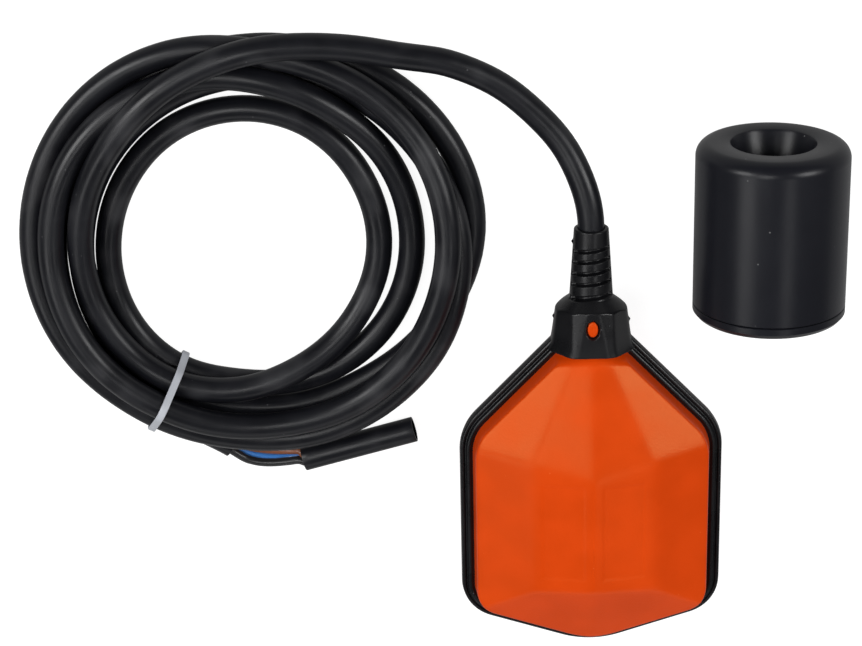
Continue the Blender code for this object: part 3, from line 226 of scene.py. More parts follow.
def wind_coil():
    """Cable's centre line: the free lead, then turns that drop onto each other and onto the floor.

    Every point has a line of sight to keep to and a height. In each round the heights sink a little,
    stray offsets from the lines of sight shrink, both are smoothed along the cable, and points of
    two turns on the same slice of the coil that are closer than a diameter are pushed apart across
    the cable. Turns further along the cable start lower, so each turn lies on the later ones, and the
    lowest lie on the floor, or at the tie on its strap.
    """
    lay = np.array(VISIBLE_LAY + HIDDEN_LAY + LAST_LAY)
    angle = np.append(np.arange(lay[0, 0], lay[-1, 0], COIL_STEP), lay[-1, 0])
    reach = softened(np.interp(angle, lay[:, 0], lay[:, 1]), 12)
    hidden = (angle > VISIBLE_LAY[-1][0] + LAY_MARGIN) & (angle < LAST_LAY[0][0] - LAY_MARGIN)
    hidden |= (angle > HIDDEN_AGAIN) & (angle < lay[-1, 0] - END_IN_VIEW)
    hold = np.where(hidden, STRAY_HIDDEN, STRAY_SEEN)[:, None]
    across = COIL_PIXEL[0] + reach * np.cos(np.radians(angle))
    down = COIL_PIXEL[1] - reach * np.sin(np.radians(angle))
    from_tie = (angle - TIE_TURN + 180) % 360 - 180
    lowest = CABLE_RADIUS + (TIE_THICKNESS + TIE_ROOM) * np.exp(-(from_tie / TIE_REACH) ** 2)

    lead = even_steps(smooth_route(LEAD_ROUTE, 0.002), 0.0026)
    first = len(lead)
    diameter = 2 * CABLE_RADIUS * ROOM
    turns_left = (lay[-1, 0] - angle) / 360
    height = CABLE_RADIUS + START_RISE * turns_left
    offset = np.zeros((len(angle), 2))
    for number in range(ROUNDS):
        height = height - (SINK if number < ROUNDS * SLOW_FROM else LAST_SINK)
        offset = offset * (1 - hold)
        line = softened(np.concatenate([lead[:, 2], height]), 6)
        height = line[first:]
        offset = softened(offset, 4)
        for _ in range(3):
            height = np.maximum(height, lowest)
            place = sight(across, down, height)
            place[:, :2] += offset
            along = unit(np.gradient(place, axis=0))
            push = np.zeros_like(place)
            for apart in range(SLICES, len(angle), SLICES):
                for shift in (-2, -1, 0, 1, 2):
                    low = np.arange(len(angle) - apart - 2)
                    high = low + apart + shift
                    gap = place[high] - place[low]
                    gap -= along[low] * np.sum(gap * along[low], axis=1)[:, None]
                    size = np.linalg.norm(gap, axis=1)
                    lack = np.maximum(diameter - size, 0)
                    step = gap / np.maximum(size, 1e-6)[:, None] * (lack * PUSH)[:, None]
                    np.add.at(push, high, step)
                    np.add.at(push, low, -step)
            height = np.maximum(height + push[:, 2], lowest)
            offset = offset + push[:, :2]
    place = sight(across, down, height)
    place[:, :2] += offset
    path = np.vstack([lead, place])
    return even_steps(softened(path, 3), CABLE_STEP)


def merge_doubles(mesh, turn_out=True):
    """Joins points that fall together and, with turn_out, turns a closed surface's faces outwards."""
    bm = bmesh.new()
    bm.from_mesh(mesh)
    bmesh.ops.remove_doubles(bm, verts=bm.verts[:], dist=1e-6)
    if turn_out:
        bmesh.ops.recalc_face_normals(bm, faces=bm.faces[:])
    bm.to_mesh(mesh)
    bm.free()


def make_mesh(name, points, faces, finish, sharp=35, weld=False, uv=None):
    """A named object at the origin from an array of points and an array of faces.

    Edges that bend by more than sharp degrees are shaded sharp.
    """
    mesh = bpy.data.meshes.new(name)
    mesh.from_pydata(points.reshape(-1, 3).tolist(), [], faces.tolist())
    if uv is not None:
        layer = mesh.uv_layers.new(name="UVMap")
        layer.data.foreach_set("uv", np.asarray(uv, np.float32).ravel())
    if weld:
        merge_doubles(mesh)
    mesh.shade_smooth()
    mesh.set_sharp_from_angle(angle=radians(sharp))
    mesh.materials.append(finish)
    made = bpy.data.objects.new(name, mesh)
    bpy.context.collection.objects.link(made)
    return made


def grid_faces(rows, columns, round_rows=False, round_columns=False):
    """Quads of a grid of points; a round grid joins its last row or column to its first."""
    row = np.arange(rows if round_rows else rows - 1)[:, None]
    column = np.arange(columns if round_columns else columns - 1)[None, :]
    below, beside = (row + 1) % rows, (column + 1) % columns
    row, below = row * columns, below * columns
    corners = [row + column, row + beside, below + beside, below + column]
    return np.stack(corners, axis=-1).reshape(-1, 4)


def make_tube(name, path, radius, finish, bore=0.0, sides=24, edge=0.00025):
    """A tube round a line: place + radius·(cos a·side + sin a·up), where side = along x Z.

    Its ends are cut square with a small rounded edge. With a bore it is open from end to end, without
    one its ends close at the line. The UV map has the distance round the tube and along it, in metres.
    """
    along = unit(np.gradient(path, axis=0))
    side = unit(np.cross(along, (0.0, 0.0, 1.0)))
    up = np.cross(side, along)
    start, end = along[0] * edge, along[-1] * edge
    middle = np.vstack([path[:1]] * 2 + [path[:1] + start * 0.3, path[:1] + start, path[1:-1],
                                         path[-1:] - end, path[-1:] - end * 0.3] + [path[-1:]] * 2)
    rows = np.concatenate([[0] * 4, np.arange(1, len(path) - 1), [len(path) - 1] * 4])
    girth = np.concatenate([[bore, radius - edge, radius - edge * 0.3], np.full(len(path), radius),
                            [radius - edge * 0.3, radius - edge, bore]])
    angle = np.arange(sides) * 2 * pi / sides
    ring = np.cos(angle)[:, None] * side[rows][:, None] + np.sin(angle)[:, None] * up[rows][:, None]
    points = middle[:, None] + ring * girth[:, None, None]
    distance = distance_along(middle)
    faces = grid_faces(len(points), sides, bore > 0, True)
    column = np.tile(np.arange(sides), len(faces) // sides)
    row = np.repeat(np.arange(len(faces) // sides), sides)
    u = np.stack([column, column + 1, column + 1, column], axis=1) * (2 * pi * radius / sides)
    v = distance[np.stack([row, row, row + 1, row + 1], axis=1) % len(points)]
    return make_mesh(name, points, faces, finish, weld=True, uv=np.stack([u, v], axis=-1))


def around(y, radius, turn, centre):
    """Points about an axis along Y: (x0 + radius·cos turn, y, z0 + radius·sin turn)."""
    return np.stack([centre[0] + radius * np.cos(turn), y + 0 * turn, centre[1] + radius * np.sin(turn)],
                    axis=-1)


def turned(name, profile, centre, finish, sides=160):
    """Revolves a closed line of (y, radius) points about an axis along Y through (x, z)."""
    y, radius = np.array(profile, float).T[:, :, None]
    points = around(y, radius, np.arange(sides) * 2 * pi / sides, centre)
    return make_mesh(name, points, grid_faces(*points.shape[:2], True, True), finish, 32, weld=True)


def arc(centre, radius, start, end, steps):
    """Points of an arc from one angle to another, in degrees."""
    turn = np.radians(np.linspace(start, end, steps + 1))
    return [(centre[0] + radius * cos(a), centre[1] + radius * sin(a)) for a in turn]


def eased(points, radius, steps=4):
    """Rounds each corner of a closed line: a quadratic curve from a short way before it to after it."""
    points = np.array(points, float)
    line = []
    for index, here in enumerate(points):
        into, away = points[index - 1] - here, points[(index + 1) % len(points)] - here
        reach = min(radius, np.linalg.norm(into) * 0.45, np.linalg.norm(away) * 0.45)
        start, end = here + unit(into) * reach, here + unit(away) * reach
        t = np.linspace(0, 1, steps + 1)[:, None]
        line.append((1 - t)**2 * start + 2 * t * (1 - t) * here + t**2 * end)
    return np.vstack(line)


def band_corners():
    """Corners (x, y, radius) of the black band's plan, counter-clockwise from the lower tip."""
    right = [(BODY_HALF_WIDTH, FOOT_Y, FOOT_RADIUS), (BODY_HALF_WIDTH, SHOULDER_Y, SHOULDER_RADIUS),
             (NECK_END_HALF, NECK_END_Y, NECK_END_RADIUS)]
    return np.array([(0.0, TIP_Y, TIP_RADIUS)] + right + [(-x, y, r) for x, y, r in reversed(right)])


def outline_ring(inset, spacing):
    """Plan of the band moved inwards: every side shifts by the inset, the corners are worked out
    again as arcs that touch both sides, and each ring has the same number of points.

    A corner moves by inset·(n1 + n2) / (1 + n1·n2), where n1 and n2 are its sides' inward normals.
    """
    corners = band_corners()
    place, radius = corners[:, :2], corners[:, 2]
    into = unit(place - np.roll(place, 1, axis=0))
    away = np.roll(into, -1, axis=0)
    first, second = into[:, ::-1] * (-1, 1), away[:, ::-1] * (-1, 1)
    moved = place + (first + second) * (inset / (1 + np.sum(first * second, axis=1)))[:, None]
    turn = np.arctan2(into[:, 0] * away[:, 1] - into[:, 1] * away[:, 0], np.sum(into * away, axis=1))
    small = np.maximum(radius - inset, radius * 0.2)
    tangent = np.tan(turn / 2)[:, None]
    counts = np.maximum(8, np.round(radius * turn / spacing)).astype(int)
    lengths = np.linalg.norm(np.roll(place, -1, axis=0) - place, axis=1)
    ring = []
    for index in range(len(corners)):
        start = moved[index] - into[index] * small[index] * tangent[index]
        centre = start + first[index] * small[index]
        bend = np.linspace(0, turn[index], counts[index] + 1)[:, None]
        ring.append(centre + small[index] * (np.sin(bend) * into[index] - np.cos(bend) * first[index]))
        after = (index + 1) % len(corners)
        end = moved[after] - into[after] * small[after] * tangent[after]
        steps = max(1, round(lengths[index] / spacing / 1.5))
        share = np.arange(1, steps)[:, None] / steps
        ring.append(ring[-1][-1] + (end - ring[-1][-1]) * share)
    return np.vstack(ring)


def facet_planes():
    """Points and outward normals of the flats of one face, above the mid-plane."""
    slope = (FOOT_Y - TIP_Y) / BODY_HALF_WIDTH
    inset = SHELL_INSET + EDGE_RISE * tan(DRAFT)
    crown, fold = np.array((0, CROWN_Y, HALF)), np.array((0, FOLD_Y, HALF))
    facet = np.array((FACET_HALF, FACET_BEND_Y, HALF - FACET_DROP))
    edge = np.array((BODY_HALF_WIDTH - inset, EDGE_BEND_Y, EDGE_RISE))
    top = np.array((TOP_HALF, TOP_Y, TOP_RISE))
    low = np.array((0, TIP_Y + inset * hypot(1, slope), EDGE_RISE))
    down = np.array((0, FOLD_Y - CROWN_Y, 0))
    right = [(crown, fold, facet + (0, CROWN_Y - FACET_BEND_Y, 0)), (facet, facet + down, edge),
             (crown, facet, top), (facet, edge, top), (fold, low, low + np.array((1, slope, 0)) * FACET_HALF)]
    planes = []
    for side in (1, -1):
        for trio in right:
            first, second, third = [point * (side, 1, 1) for point in trio]
            normal = unit(np.cross(second - first, third - first))
            planes.append((first, normal * np.sign(normal[2])))
    return planes


def wall_distance(x, y):
    """Signed distance in plan to the band's outline, negative inside: the greatest of the distances
    to its straight sides."""
    corners = band_corners()[:, :2]
    along = unit(np.roll(corners, -1, axis=0) - corners)
    return np.max([(x - at[0]) * way[1] - (y - at[1]) * way[0] for at, way in zip(corners, along)], axis=0)


def skin_height(x, y, wall, soft, side):
    """Height of the softened face above the mid-plane.

    The faceted body is where every plane's distance d is negative, and so is the distance to the
    flaring seat under the collar, (hypot(x, z) - seat - t - t³/reach²) / sqrt(2), where t = rim - y.
    Its soft skin is where soft·log(sum(exp(d/soft))) is zero, which rounds each edge; that height is
    found by Newton steps. wall is the plan distance inside the foot of the drafted wall.
    """
    planes = facet_planes()
    newton_steps, longest_step, lowest, least_slope = 60, 0.003, 0.0002, 0.05
    z = np.full_like(x, EDGE_RISE)
    below_rim = COLLAR_Y - y
    seat = SEAT_RADIUS + below_rim + np.maximum(below_rim, 0) ** 3 / SEAT_REACH**2
    for _ in range(newton_steps):
        distances = [(x - p[0]) * n[0] + (y - p[1]) * n[1] + (z - p[2]) * n[2] for p, n in planes]
        slopes = [np.full_like(x, n[2]) for _, n in planes]
        distances.append((z * tan(DRAFT) - wall) * cos(DRAFT))
        slopes.append(np.full_like(x, sin(DRAFT)))
        radius = np.hypot(x, z)
        distances.append((radius - seat) / 2**0.5)
        slopes.append(z / radius / 2**0.5)
        if side < 0:
            flat = HALF - FACET_DROP * REST_PAD_HALF / FACET_HALF
            distances.append(z - flat)
            slopes.append(np.ones_like(x))
        distances, slopes = np.stack(distances), np.stack(slopes)
        peak = distances.max(axis=0)
        weight = np.exp((distances - peak) / soft)
        total = weight.sum(axis=0)
        value = peak + soft * np.log(total)
        slope = (weight * slopes).sum(axis=0) / total
        step = np.clip(value / np.maximum(slope, least_slope), -longest_step, longest_step)
        z = np.maximum(z - step, lowest)
    return z


def make_skin(name, side, finish):
    """One orange half shell. Rings of points run round the wall's outline, moved inwards step by step
    up the drafted wall and over its edge, then drawn together towards the middle of the face."""
    near_top, past_edge = 0.0009, 0.0036
    wall_steps = np.concatenate([np.linspace(0, near_top, 9)[:-1], np.linspace(near_top, past_edge, 22)])
    middle = np.array((0.0, 0.002))
    rings = [outline_ring(SHELL_INSET + inset, 0.0009) for inset in wall_steps]
    inner = rings[-1]
    shares = 1 - np.linspace(0, 1, 90)[1:] ** 0.9
    rings += [middle + (inner - middle) * share for share in shares]
    wall = np.concatenate([wall_steps, np.full(len(shares), 0.0)])
    plan = np.stack(rings)
    x, y = plan[..., 0], plan[..., 1]
    inside = -wall_distance(x, y) - SHELL_INSET
    depth = np.where(np.arange(len(rings))[:, None] < len(wall_steps), wall[:, None], inside)
    height = skin_height(x, y, depth, EDGE_SOFT, side)
    if side > 0:
        box = (smooth_step(np.abs(x) - PAD_INNER, PAD_SOFT) * smooth_step(PAD_OUTER - np.abs(x), PAD_SOFT)
               * smooth_step(y - PAD_LOW, PAD_SOFT) * smooth_step(PAD_HIGH - y, PAD_SOFT))
        height = height - PAD_DEPTH * box
    height[0] = GAP / 2
    points = np.stack([x, y, MID_Z + side * height], axis=-1)
    faces = grid_faces(*x.shape, round_columns=True)
    if side < 0:
        faces = faces[:, ::-1]
    shell = make_mesh(name, points, faces, finish, sharp=50)
    merge_doubles(shell.data, turn_out=False)
    thick = shell.modifiers.new("wall", "SOLIDIFY")
    thick.thickness = SHELL_WALL
    thick.offset = -1
    return shell


def make_band(finish):
    """Black moulding round the seam: its section, with a bead at each side, carried round the outline."""
    groove = BAND_HALF - 0.0006
    # inset from the outline and rise from the mid-plane, from the outer edge to under the shell
    half = [(0.0003, BAND_HALF * 0.85), (0.0007, BAND_HALF), (0.0013, BAND_HALF), (0.0015, groove),
            (0.0020, groove), (0.0022, BEAD_RISE - 0.0003), (0.0026, BEAD_RISE), (0.0033, BEAD_RISE),
            (SHELL_INSET - 0.0001, BEAD_RISE - 0.0005), (SHELL_INSET + 0.0010, BEAD_RISE - 0.0005)]
    section = eased([(0.0, 0.0)] + half + [(inset, -rise) for inset, rise in reversed(half)], 0.0004, 3)
    plan = np.stack([outline_ring(inset, 0.0012) for inset in section[:, 0]])
    z = np.broadcast_to(MID_Z + section[:, 1][:, None, None], plan.shape[:2] + (1,))
    return make_mesh("seal_band", np.concatenate([plan, z], axis=-1), grid_faces(*plan.shape[:2], True, True),
                     finish, 40, weld=True)


def collar_radius(row, turn):
    """Radius of the collar and its sloping shoulder at a row and a turn about the axis.

    It is the soft least of the cone, the shoulder's cone, and each flat's distance / cos(turn - its
    direction): a front and a rear panel, whose distance and half width shrink towards the top, two
    flanks beside each panel that start from its edges, and four slanted flats.
    """
    share = (row - COLLAR_Y) / (COLLAR_TOP_Y - COLLAR_Y)
    cone = COLLAR_RADIUS + (COLLAR_TOP_RADIUS - COLLAR_RADIUS) * share
    rise = PANEL_RISE + (PANEL_TOP_RISE - PANEL_RISE) * share
    half = PANEL_HALF + (PANEL_TOP_HALF - PANEL_HALF) * share
    flare = RIM_FLARE * np.exp(-np.maximum(row - COLLAR_Y, 0) / RIM_FLARE_REACH) * np.cos(turn) ** 2
    steep = (COLLAR_TOP_RADIUS - RELIEF_RADIUS) / (RELIEF_Y - COLLAR_TOP_Y)
    limits = [cone + flare, RELIEF_RADIUS + (RELIEF_Y - row) * steep + 0 * turn]
    for face in (pi / 2, -pi / 2):
        flats = [(face, rise)]
        for hand in (-1, 1):
            flats.append((face + hand * FLANK_TILT, half * sin(FLANK_TILT) + rise * cos(FLANK_TILT)))
            flats.append((face + hand * (pi / 2 - SLANT_TURN), (cone + flare) * SLANT_SHARE))
        for direction, distance in flats:
            facing = np.cos(turn - direction)
            limits.append(np.where(facing > 0.2, distance / np.maximum(facing, 0.2), 1.0))
    return soft_least(limits, FLAT_SOFT)


def make_collar(finish):
    """Collar, shoulder and ribbed strain relief of the boot as one surface round the axis.

    A row starts at a height on the axis and sinks by dip·cos² of the turn at the sides, as the
    shoulder does. The radius is the soft greatest of the collar and the relief's taper, less the
    slots: tilted ovals of exp(-(distance / half)^4), which end before they reach the sides. Inside
    the oval eye it sinks to the neck, small lumps stand on the sides, and the rim and mouth are eased.
    """
    rows = [(COLLAR_Y, COLLAR_Y + 0.0004, 5), (COLLAR_Y + 0.0004, STUD_Y - 0.0036, 20),
            (STUD_Y - 0.0036, STUD_Y + 0.0036, 61), (STUD_Y + 0.0036, RELIEF_Y + 0.0004, 43),
            (RELIEF_Y + 0.0004, MOUTH_Y - 0.0006, 230), (MOUTH_Y - 0.0006, MOUTH_Y, 9)]
    row = np.unique(np.concatenate([np.linspace(*part) for part in rows]).round(7))
    fine = np.radians(np.linspace(-17, 17, 49))
    turn = np.unique(np.concatenate([pi / 2 + fine, 3 * pi / 2 + fine, np.radians(np.arange(0, 360, 2.25))]))
    row, turn = np.meshgrid(row, turn, indexing="ij")
    dip = np.interp(row, (COLLAR_Y, COLLAR_TOP_Y, RELIEF_Y, MOUTH_Y), (0, SHOULDER_DIP, RELIEF_DIP, 0))
    sideways = np.cos(turn) ** 2
    y = row - dip * sideways
    taper = (MOUTH_RADIUS - RELIEF_RADIUS) / (MOUTH_Y - RELIEF_Y)
    relief = RELIEF_RADIUS + taper * np.maximum(row - RELIEF_Y, 0)
    radius = -soft_least([-collar_radius(row, turn), -relief], FLAT_SOFT)
    facing = smooth_step(np.abs(np.sin(turn)) - GROOVE_END, GROOVE_END_SOFT)
    room = np.maximum(np.minimum(relief - GROOVE_FLOOR, GROOVE_DEPTH), 0)
    for number, place in enumerate(GROOVES_Y):
        centre = place + GROOVE_TILT * np.cos(turn) - GROOVE_SINK * sideways
        half = GROOVE_HALF * (FIRST_GROOVE if number == 0 else 1.0)
        radius = radius - room * facing * np.exp(-((y - centre) / half) ** 4)
    eye = np.hypot(radius * np.cos(turn) / (STUD_HALF_X + STUD_ROOM),
                   (y - STUD_Y) / (STUD_HALF_Y + STUD_ROOM))
    floor = NECK_RADIUS + 1.3 * GAP
    inside = smooth_step(1.0 - eye, EYE_SOFT) * (row < COLLAR_TOP_Y)
    radius = radius - np.maximum(radius - floor, 0) * inside
    for place, height in LUMPS:
        away = (turn - place + pi) % (2 * pi) - pi
        fade = -((y - height) / LUMP_REACH) ** 2 - (away * radius / LUMP_REACH) ** 2
        radius = radius + LUMP_RISE * np.exp(fade)
    for start, sign in ((COLLAR_Y, 1), (MOUTH_Y, -1)):
        into = np.clip(1 - sign * (row - start) / RIM_EDGE, 0, 1)
        radius = radius - RIM_EDGE * (1 - np.sqrt(1 - into**2))
    inner, bore = NECK_RADIUS + GAP, CABLE_RADIUS + 0.0002
    back = [(MOUTH_Y, bore), (NECK_STOP_Y + GAP, bore), (NECK_STOP_Y + GAP, inner), (COLLAR_Y, inner)]
    y = np.vstack([y] + [np.full_like(y[:1], place) for place, _ in back])
    radius = np.vstack([radius] + [np.full_like(radius[:1], size) for _, size in back])
    points = around(y, radius, turn[0], (0.0, MID_Z))
    return make_mesh("seal_collar", points, grid_faces(*y.shape, True, True), finish, 40, weld=True)


def make_neck(name, side, finish):
    """Half neck under the collar, with its domed oval stud, as seen through the collar's eye."""
    angle = np.linspace(0, pi, 49)
    rows = [(NECK_START_Y, NECK_BORE), (NECK_START_Y, NECK_RADIUS), (NECK_STOP_Y, NECK_RADIUS),
            (NECK_STOP_Y, NECK_BORE)]
    y, radius = np.array(rows).T[:, :, None]
    points = around(y, radius, side * angle, (0.0, MID_Z + side * GAP / 2))
    neck = make_mesh(name, points, grid_faces(*points.shape[:2], True, False), finish, 40, weld=True)
    dome = [(0.0, NECK_RADIUS - 0.001), (1.0, NECK_RADIUS - 0.001), (1.0, STUD_RISE - 0.0004),
            (0.96, STUD_RISE - 0.00016), (0.86, STUD_RISE - 0.00005), (0.5, STUD_RISE), (0.0, STUD_RISE)]
    share, rise = np.array(dome).T[:, :, None]
    turn = np.arange(48) * 2 * pi / 48
    points = np.stack([STUD_HALF_X * share * np.cos(turn), STUD_Y + STUD_HALF_Y * share * np.sin(turn),
                       MID_Z + side * rise + 0 * turn], axis=-1)
    faces = grid_faces(*points.shape[:2], round_columns=True)
    return neck, make_mesh(name + "_stud", points, faces, finish, 40, weld=True)


def make_weight(finish):
    """Counterweight: a turned cup with a filleted end and a conical mouth, and its chamfered cap."""
    centre = (WEIGHT_X, WEIGHT_RADIUS)
    low, high, edge, lip = WEIGHT_LOW_Y, WEIGHT_HIGH_Y, WEIGHT_EDGE, 0.0008
    fillet = arc((high - WEIGHT_FILLET, WEIGHT_RADIUS - WEIGHT_FILLET), WEIGHT_FILLET, 90, 0, 12)
    cone_low, under = high - CONE_DEPTH, high - WEIGHT_WALL
    tube, wall = WEIGHT_BORE + CONE_WALL, WEIGHT_RADIUS - WEIGHT_WALL
    start, end = SEAM_Y + SEAM_GAP / 2, SEAM_Y - SEAM_GAP / 2
    profile = [(start, WEIGHT_RADIUS - edge), (start + edge, WEIGHT_RADIUS)] + fillet
    profile += [(high, CONE_RADIUS + lip), (high - edge, CONE_RADIUS + 0.0003), (high - lip, CONE_RADIUS),
                (cone_low, WEIGHT_BORE), (start, WEIGHT_BORE), (start, tube), (cone_low, tube),
                (under, CONE_RADIUS + 0.0014), (under, wall - 0.003), (high - WEIGHT_FILLET, wall),
                (start, wall)]
    shell = turned("weight_shell", profile, centre, finish)
    profile = [(low, WEIGHT_BORE + lip), (low, WEIGHT_RADIUS - CAP_CHAMFER),
               (low + 0.0004, WEIGHT_RADIUS - CAP_CHAMFER + 0.0006), (low + CAP_CHAMFER, WEIGHT_RADIUS),
               (end - edge, WEIGHT_RADIUS), (end, WEIGHT_RADIUS - edge), (end, WEIGHT_BORE),
               (low + lip, WEIGHT_BORE)]
    return shell, turned("weight_cap", profile, centre, finish)


def make_tie(path, finish):
    """Strap drawn tight round the bundle in an upright plane across it.

    The strands cross that plane at centres c. Its line is their common outline: in each direction n
    it touches the furthest one, at c + (cable radius + half a strap)·n. A flat eased section is
    carried along the line, standing out along n.
    """
    inner, outer = [sight(np.float64(u), np.float64(v), z) for u, v, z in (TIE_INNER, TIE_OUTER)]
    out = unit((outer - inner)[:2])
    across = np.array((-out[1], out[0], 0.0))
    gone = (path[:, :2] - inner[:2]) @ across[:2]
    at = np.flatnonzero(gone[:-1] * gone[1:] < 0)
    share = (gone[at] / (gone[at] - gone[at + 1]))[:, None]
    crossing = path[at] + (path[at + 1] - path[at]) * share
    distance = (crossing[:, :2] - inner[:2]) @ out
    centres = np.stack([distance, crossing[:, 2]], axis=1)[distance > -COIL_SIDE]
    turn = np.linspace(0, 2 * pi, 361)
    normal = np.stack([np.cos(turn), np.sin(turn)], axis=1)
    touched = centres[np.argmax(normal @ centres.T, axis=1)]
    line = touched + normal * (CABLE_RADIUS + TIE_THICKNESS / 2 + TIE_PLAY)
    plane = np.array([[out[0], 0.0], [out[1], 0.0], [0.0, 1.0]])
    line = np.hstack([np.append(inner[:2], 0.0) + line @ plane.T, normal @ plane.T])
    line = even_steps(line, 0.0005)[:-1]
    place, lift = line[:, :3], unit(softened(line[:, 3:], 3))
    half, rise = TIE_WIDTH / 2, TIE_THICKNESS / 2
    section = eased([(-half, -rise), (half, -rise), (half, rise), (-half, rise)], 0.0003, 3)
    points = place[:, None] + across * section[:, :1] + lift[:, None] * section[:, 1:]
    return make_mesh("tie_strap", points, grid_faces(*points.shape[:2], True, True), finish, 50, weld=True)


def make_core(colour, lay, clock, path, finish):
    """One bared core: out of the cable's end, along its lay and into the sleeve; clock is its turn
    in the cable's section."""
    end = unit(path[-1] - path[-2])
    sleeve = unit(np.subtract(SLEEVE_END, SLEEVE_START))
    ends = []
    for place, along, steps in ((path[-1], end, (-CORE_INSIDE, -0.0005)),
                                (np.array(SLEEVE_START), sleeve, (0.0010, CORE_INSIDE))):
        side = unit(np.cross(along, (0.0, 0.0, 1.0)))
        shift = CORE_OFFSET * (cos(clock) * side + sin(clock) * np.cross(side, along))
        ends.append([place + shift + along * step for step in steps])
    route = np.vstack([ends[0], sight(*np.array(lay).T), ends[1]])
    line = even_steps(smooth_route(route, 0.0004), 0.0006)
    return make_tube("bared_core_" + colour, line, CORE_RADIUS, finish, sides=18, edge=0.0001)


def fill(tree, node, values):
    """Fills a node's inputs, by name or number, with values or with links from sockets."""
    for key, value in values.items():
        if isinstance(value, bpy.types.NodeSocket):
            tree.links.new(value, node.inputs[key])
        else:
            node.inputs[key].default_value = value


def add_node(tree, kind, values, **settings):
    made = tree.nodes.new(kind)
    for key, value in settings.items():
        setattr(made, key, value)
    fill(tree, made, values)
    return made


def maths(tree, operation, first, second=0.0, third=0.0):
    values = {0: first, 1: second, 2: third}
    return add_node(tree, "ShaderNodeMath", values, operation=operation).outputs[0]


def mapping(tree, values):
    return add_node(tree, "ShaderNodeMapping", values).outputs[0]


def blend(tree, share, first, second):
    """Colour between two colours."""
    mixed = add_node(tree, "ShaderNodeMix", {0: share, 6: first, 7: second}, data_type="RGBA")
    return mixed.outputs[2]


def noise(tree, vector, scale, detail=2.0, rough=0.5):
    values = {"Vector": vector, "Scale": scale, "Detail": detail, "Roughness": rough}
    return add_node(tree, "ShaderNodeTexNoise", values).outputs[0]


def ramp(tree, value, low, high):
    """0 below low, 1 above high, smooth between."""
    values = {"Value": value, "From Min": low, "From Max": high}
    return add_node(tree, "ShaderNodeMapRange", values, interpolation_type="SMOOTHSTEP").outputs[0]


def new_group(name, inputs, outputs):
    """A node group that takes a Vector and named values; gives it, its inputs and its outputs."""
    group = bpy.data.node_groups.new(name, "ShaderNodeTree")
    group.interface.new_socket("Vector", in_out="INPUT", socket_type="NodeSocketVector")
    for label in inputs:
        group.interface.new_socket(label, in_out="INPUT", socket_type="NodeSocketFloat")
    for label in outputs:
        group.interface.new_socket(label, in_out="OUTPUT", socket_type="NodeSocketFloat")
    return group, group.nodes.new("NodeGroupInput").outputs, group.nodes.new("NodeGroupOutput").inputs


def grain_group():
    """Moulded surface: fine grain and broad unevenness. Height feeds a bump, Tone a colour or roughness."""
    group, given, put = new_group("moulded grain", ("Fine", "Broad"), ("Height", "Tone"))
    fine = noise(group, given["Vector"], given["Fine"], 3.0, 0.6)
    broad = noise(group, given["Vector"], given["Broad"], 2.0)
    height = maths(group, "MULTIPLY_ADD", broad, 2.0, fine)
    group.links.new(height, put["Height"])
    group.links.new(broad, put["Tone"])
    return group


def wear_group():
    """Handling marks: hair scratches, from noise stretched two ways, where a broad patch lets them
    show, and dust specks, from round cells of which only a few are kept."""
    group, given, put = new_group("handling marks", ("Scratch Scale", "Speck Scale"), ("Scratches", "Specks"))
    lines = []
    for turn, stretch in ((0.5, (6.0, 0.25, 3.0)), (-0.9, (0.25, 5.0, 3.0))):
        values = {"Vector": given["Vector"], "Rotation": (0.3, 0.2, turn), "Scale": stretch}
        hairs = noise(group, mapping(group, values), given["Scratch Scale"], 1.0)
        lines.append(ramp(group, hairs, 0.64, 0.74))
    patch_scale = maths(group, "MULTIPLY", given["Scratch Scale"], 0.12)
    patch = ramp(group, noise(group, given["Vector"], patch_scale), 0.50, 0.66)
    scratches = maths(group, "MULTIPLY", maths(group, "MAXIMUM", lines[0], lines[1]), patch)
    values = {"Vector": given["Vector"], "Scale": given["Speck Scale"]}
    cells = add_node(group, "ShaderNodeTexVoronoi", values)
    chance = add_node(group, "ShaderNodeSeparateColor", {0: cells.outputs["Color"]}).outputs[0]
    kept = ramp(group, chance, 0.78, 0.98)
    dot = maths(group, "SUBTRACT", maths(group, "MULTIPLY", kept, 0.10), cells.outputs["Distance"])
    group.links.new(scratches, put["Scratches"])
    group.links.new(ramp(group, dot, 0.0, 0.03), put["Specks"])
    return group


def drawn_group():
    """Extruded sheath: faint lines along it and slow swellings, read from its own UV map in metres."""
    group, given, put = new_group("drawn sheath", (), ("Height", "Tone"))
    lines = mapping(group, {"Vector": given["Vector"], "Scale": (900.0, 18.0, 1.0)})
    slow = mapping(group, {"Vector": given["Vector"], "Scale": (60.0, 45.0, 1.0)})
    fine = noise(group, lines, 1.0, 1.0)
    broad = noise(group, slow, 1.0)
    group.links.new(maths(group, "MULTIPLY_ADD", broad, 2.5, fine), put["Height"])
    group.links.new(broad, put["Tone"])
    return group


GROUPS = {"grain": grain_group(), "wear": wear_group(), "drawn": drawn_group()}


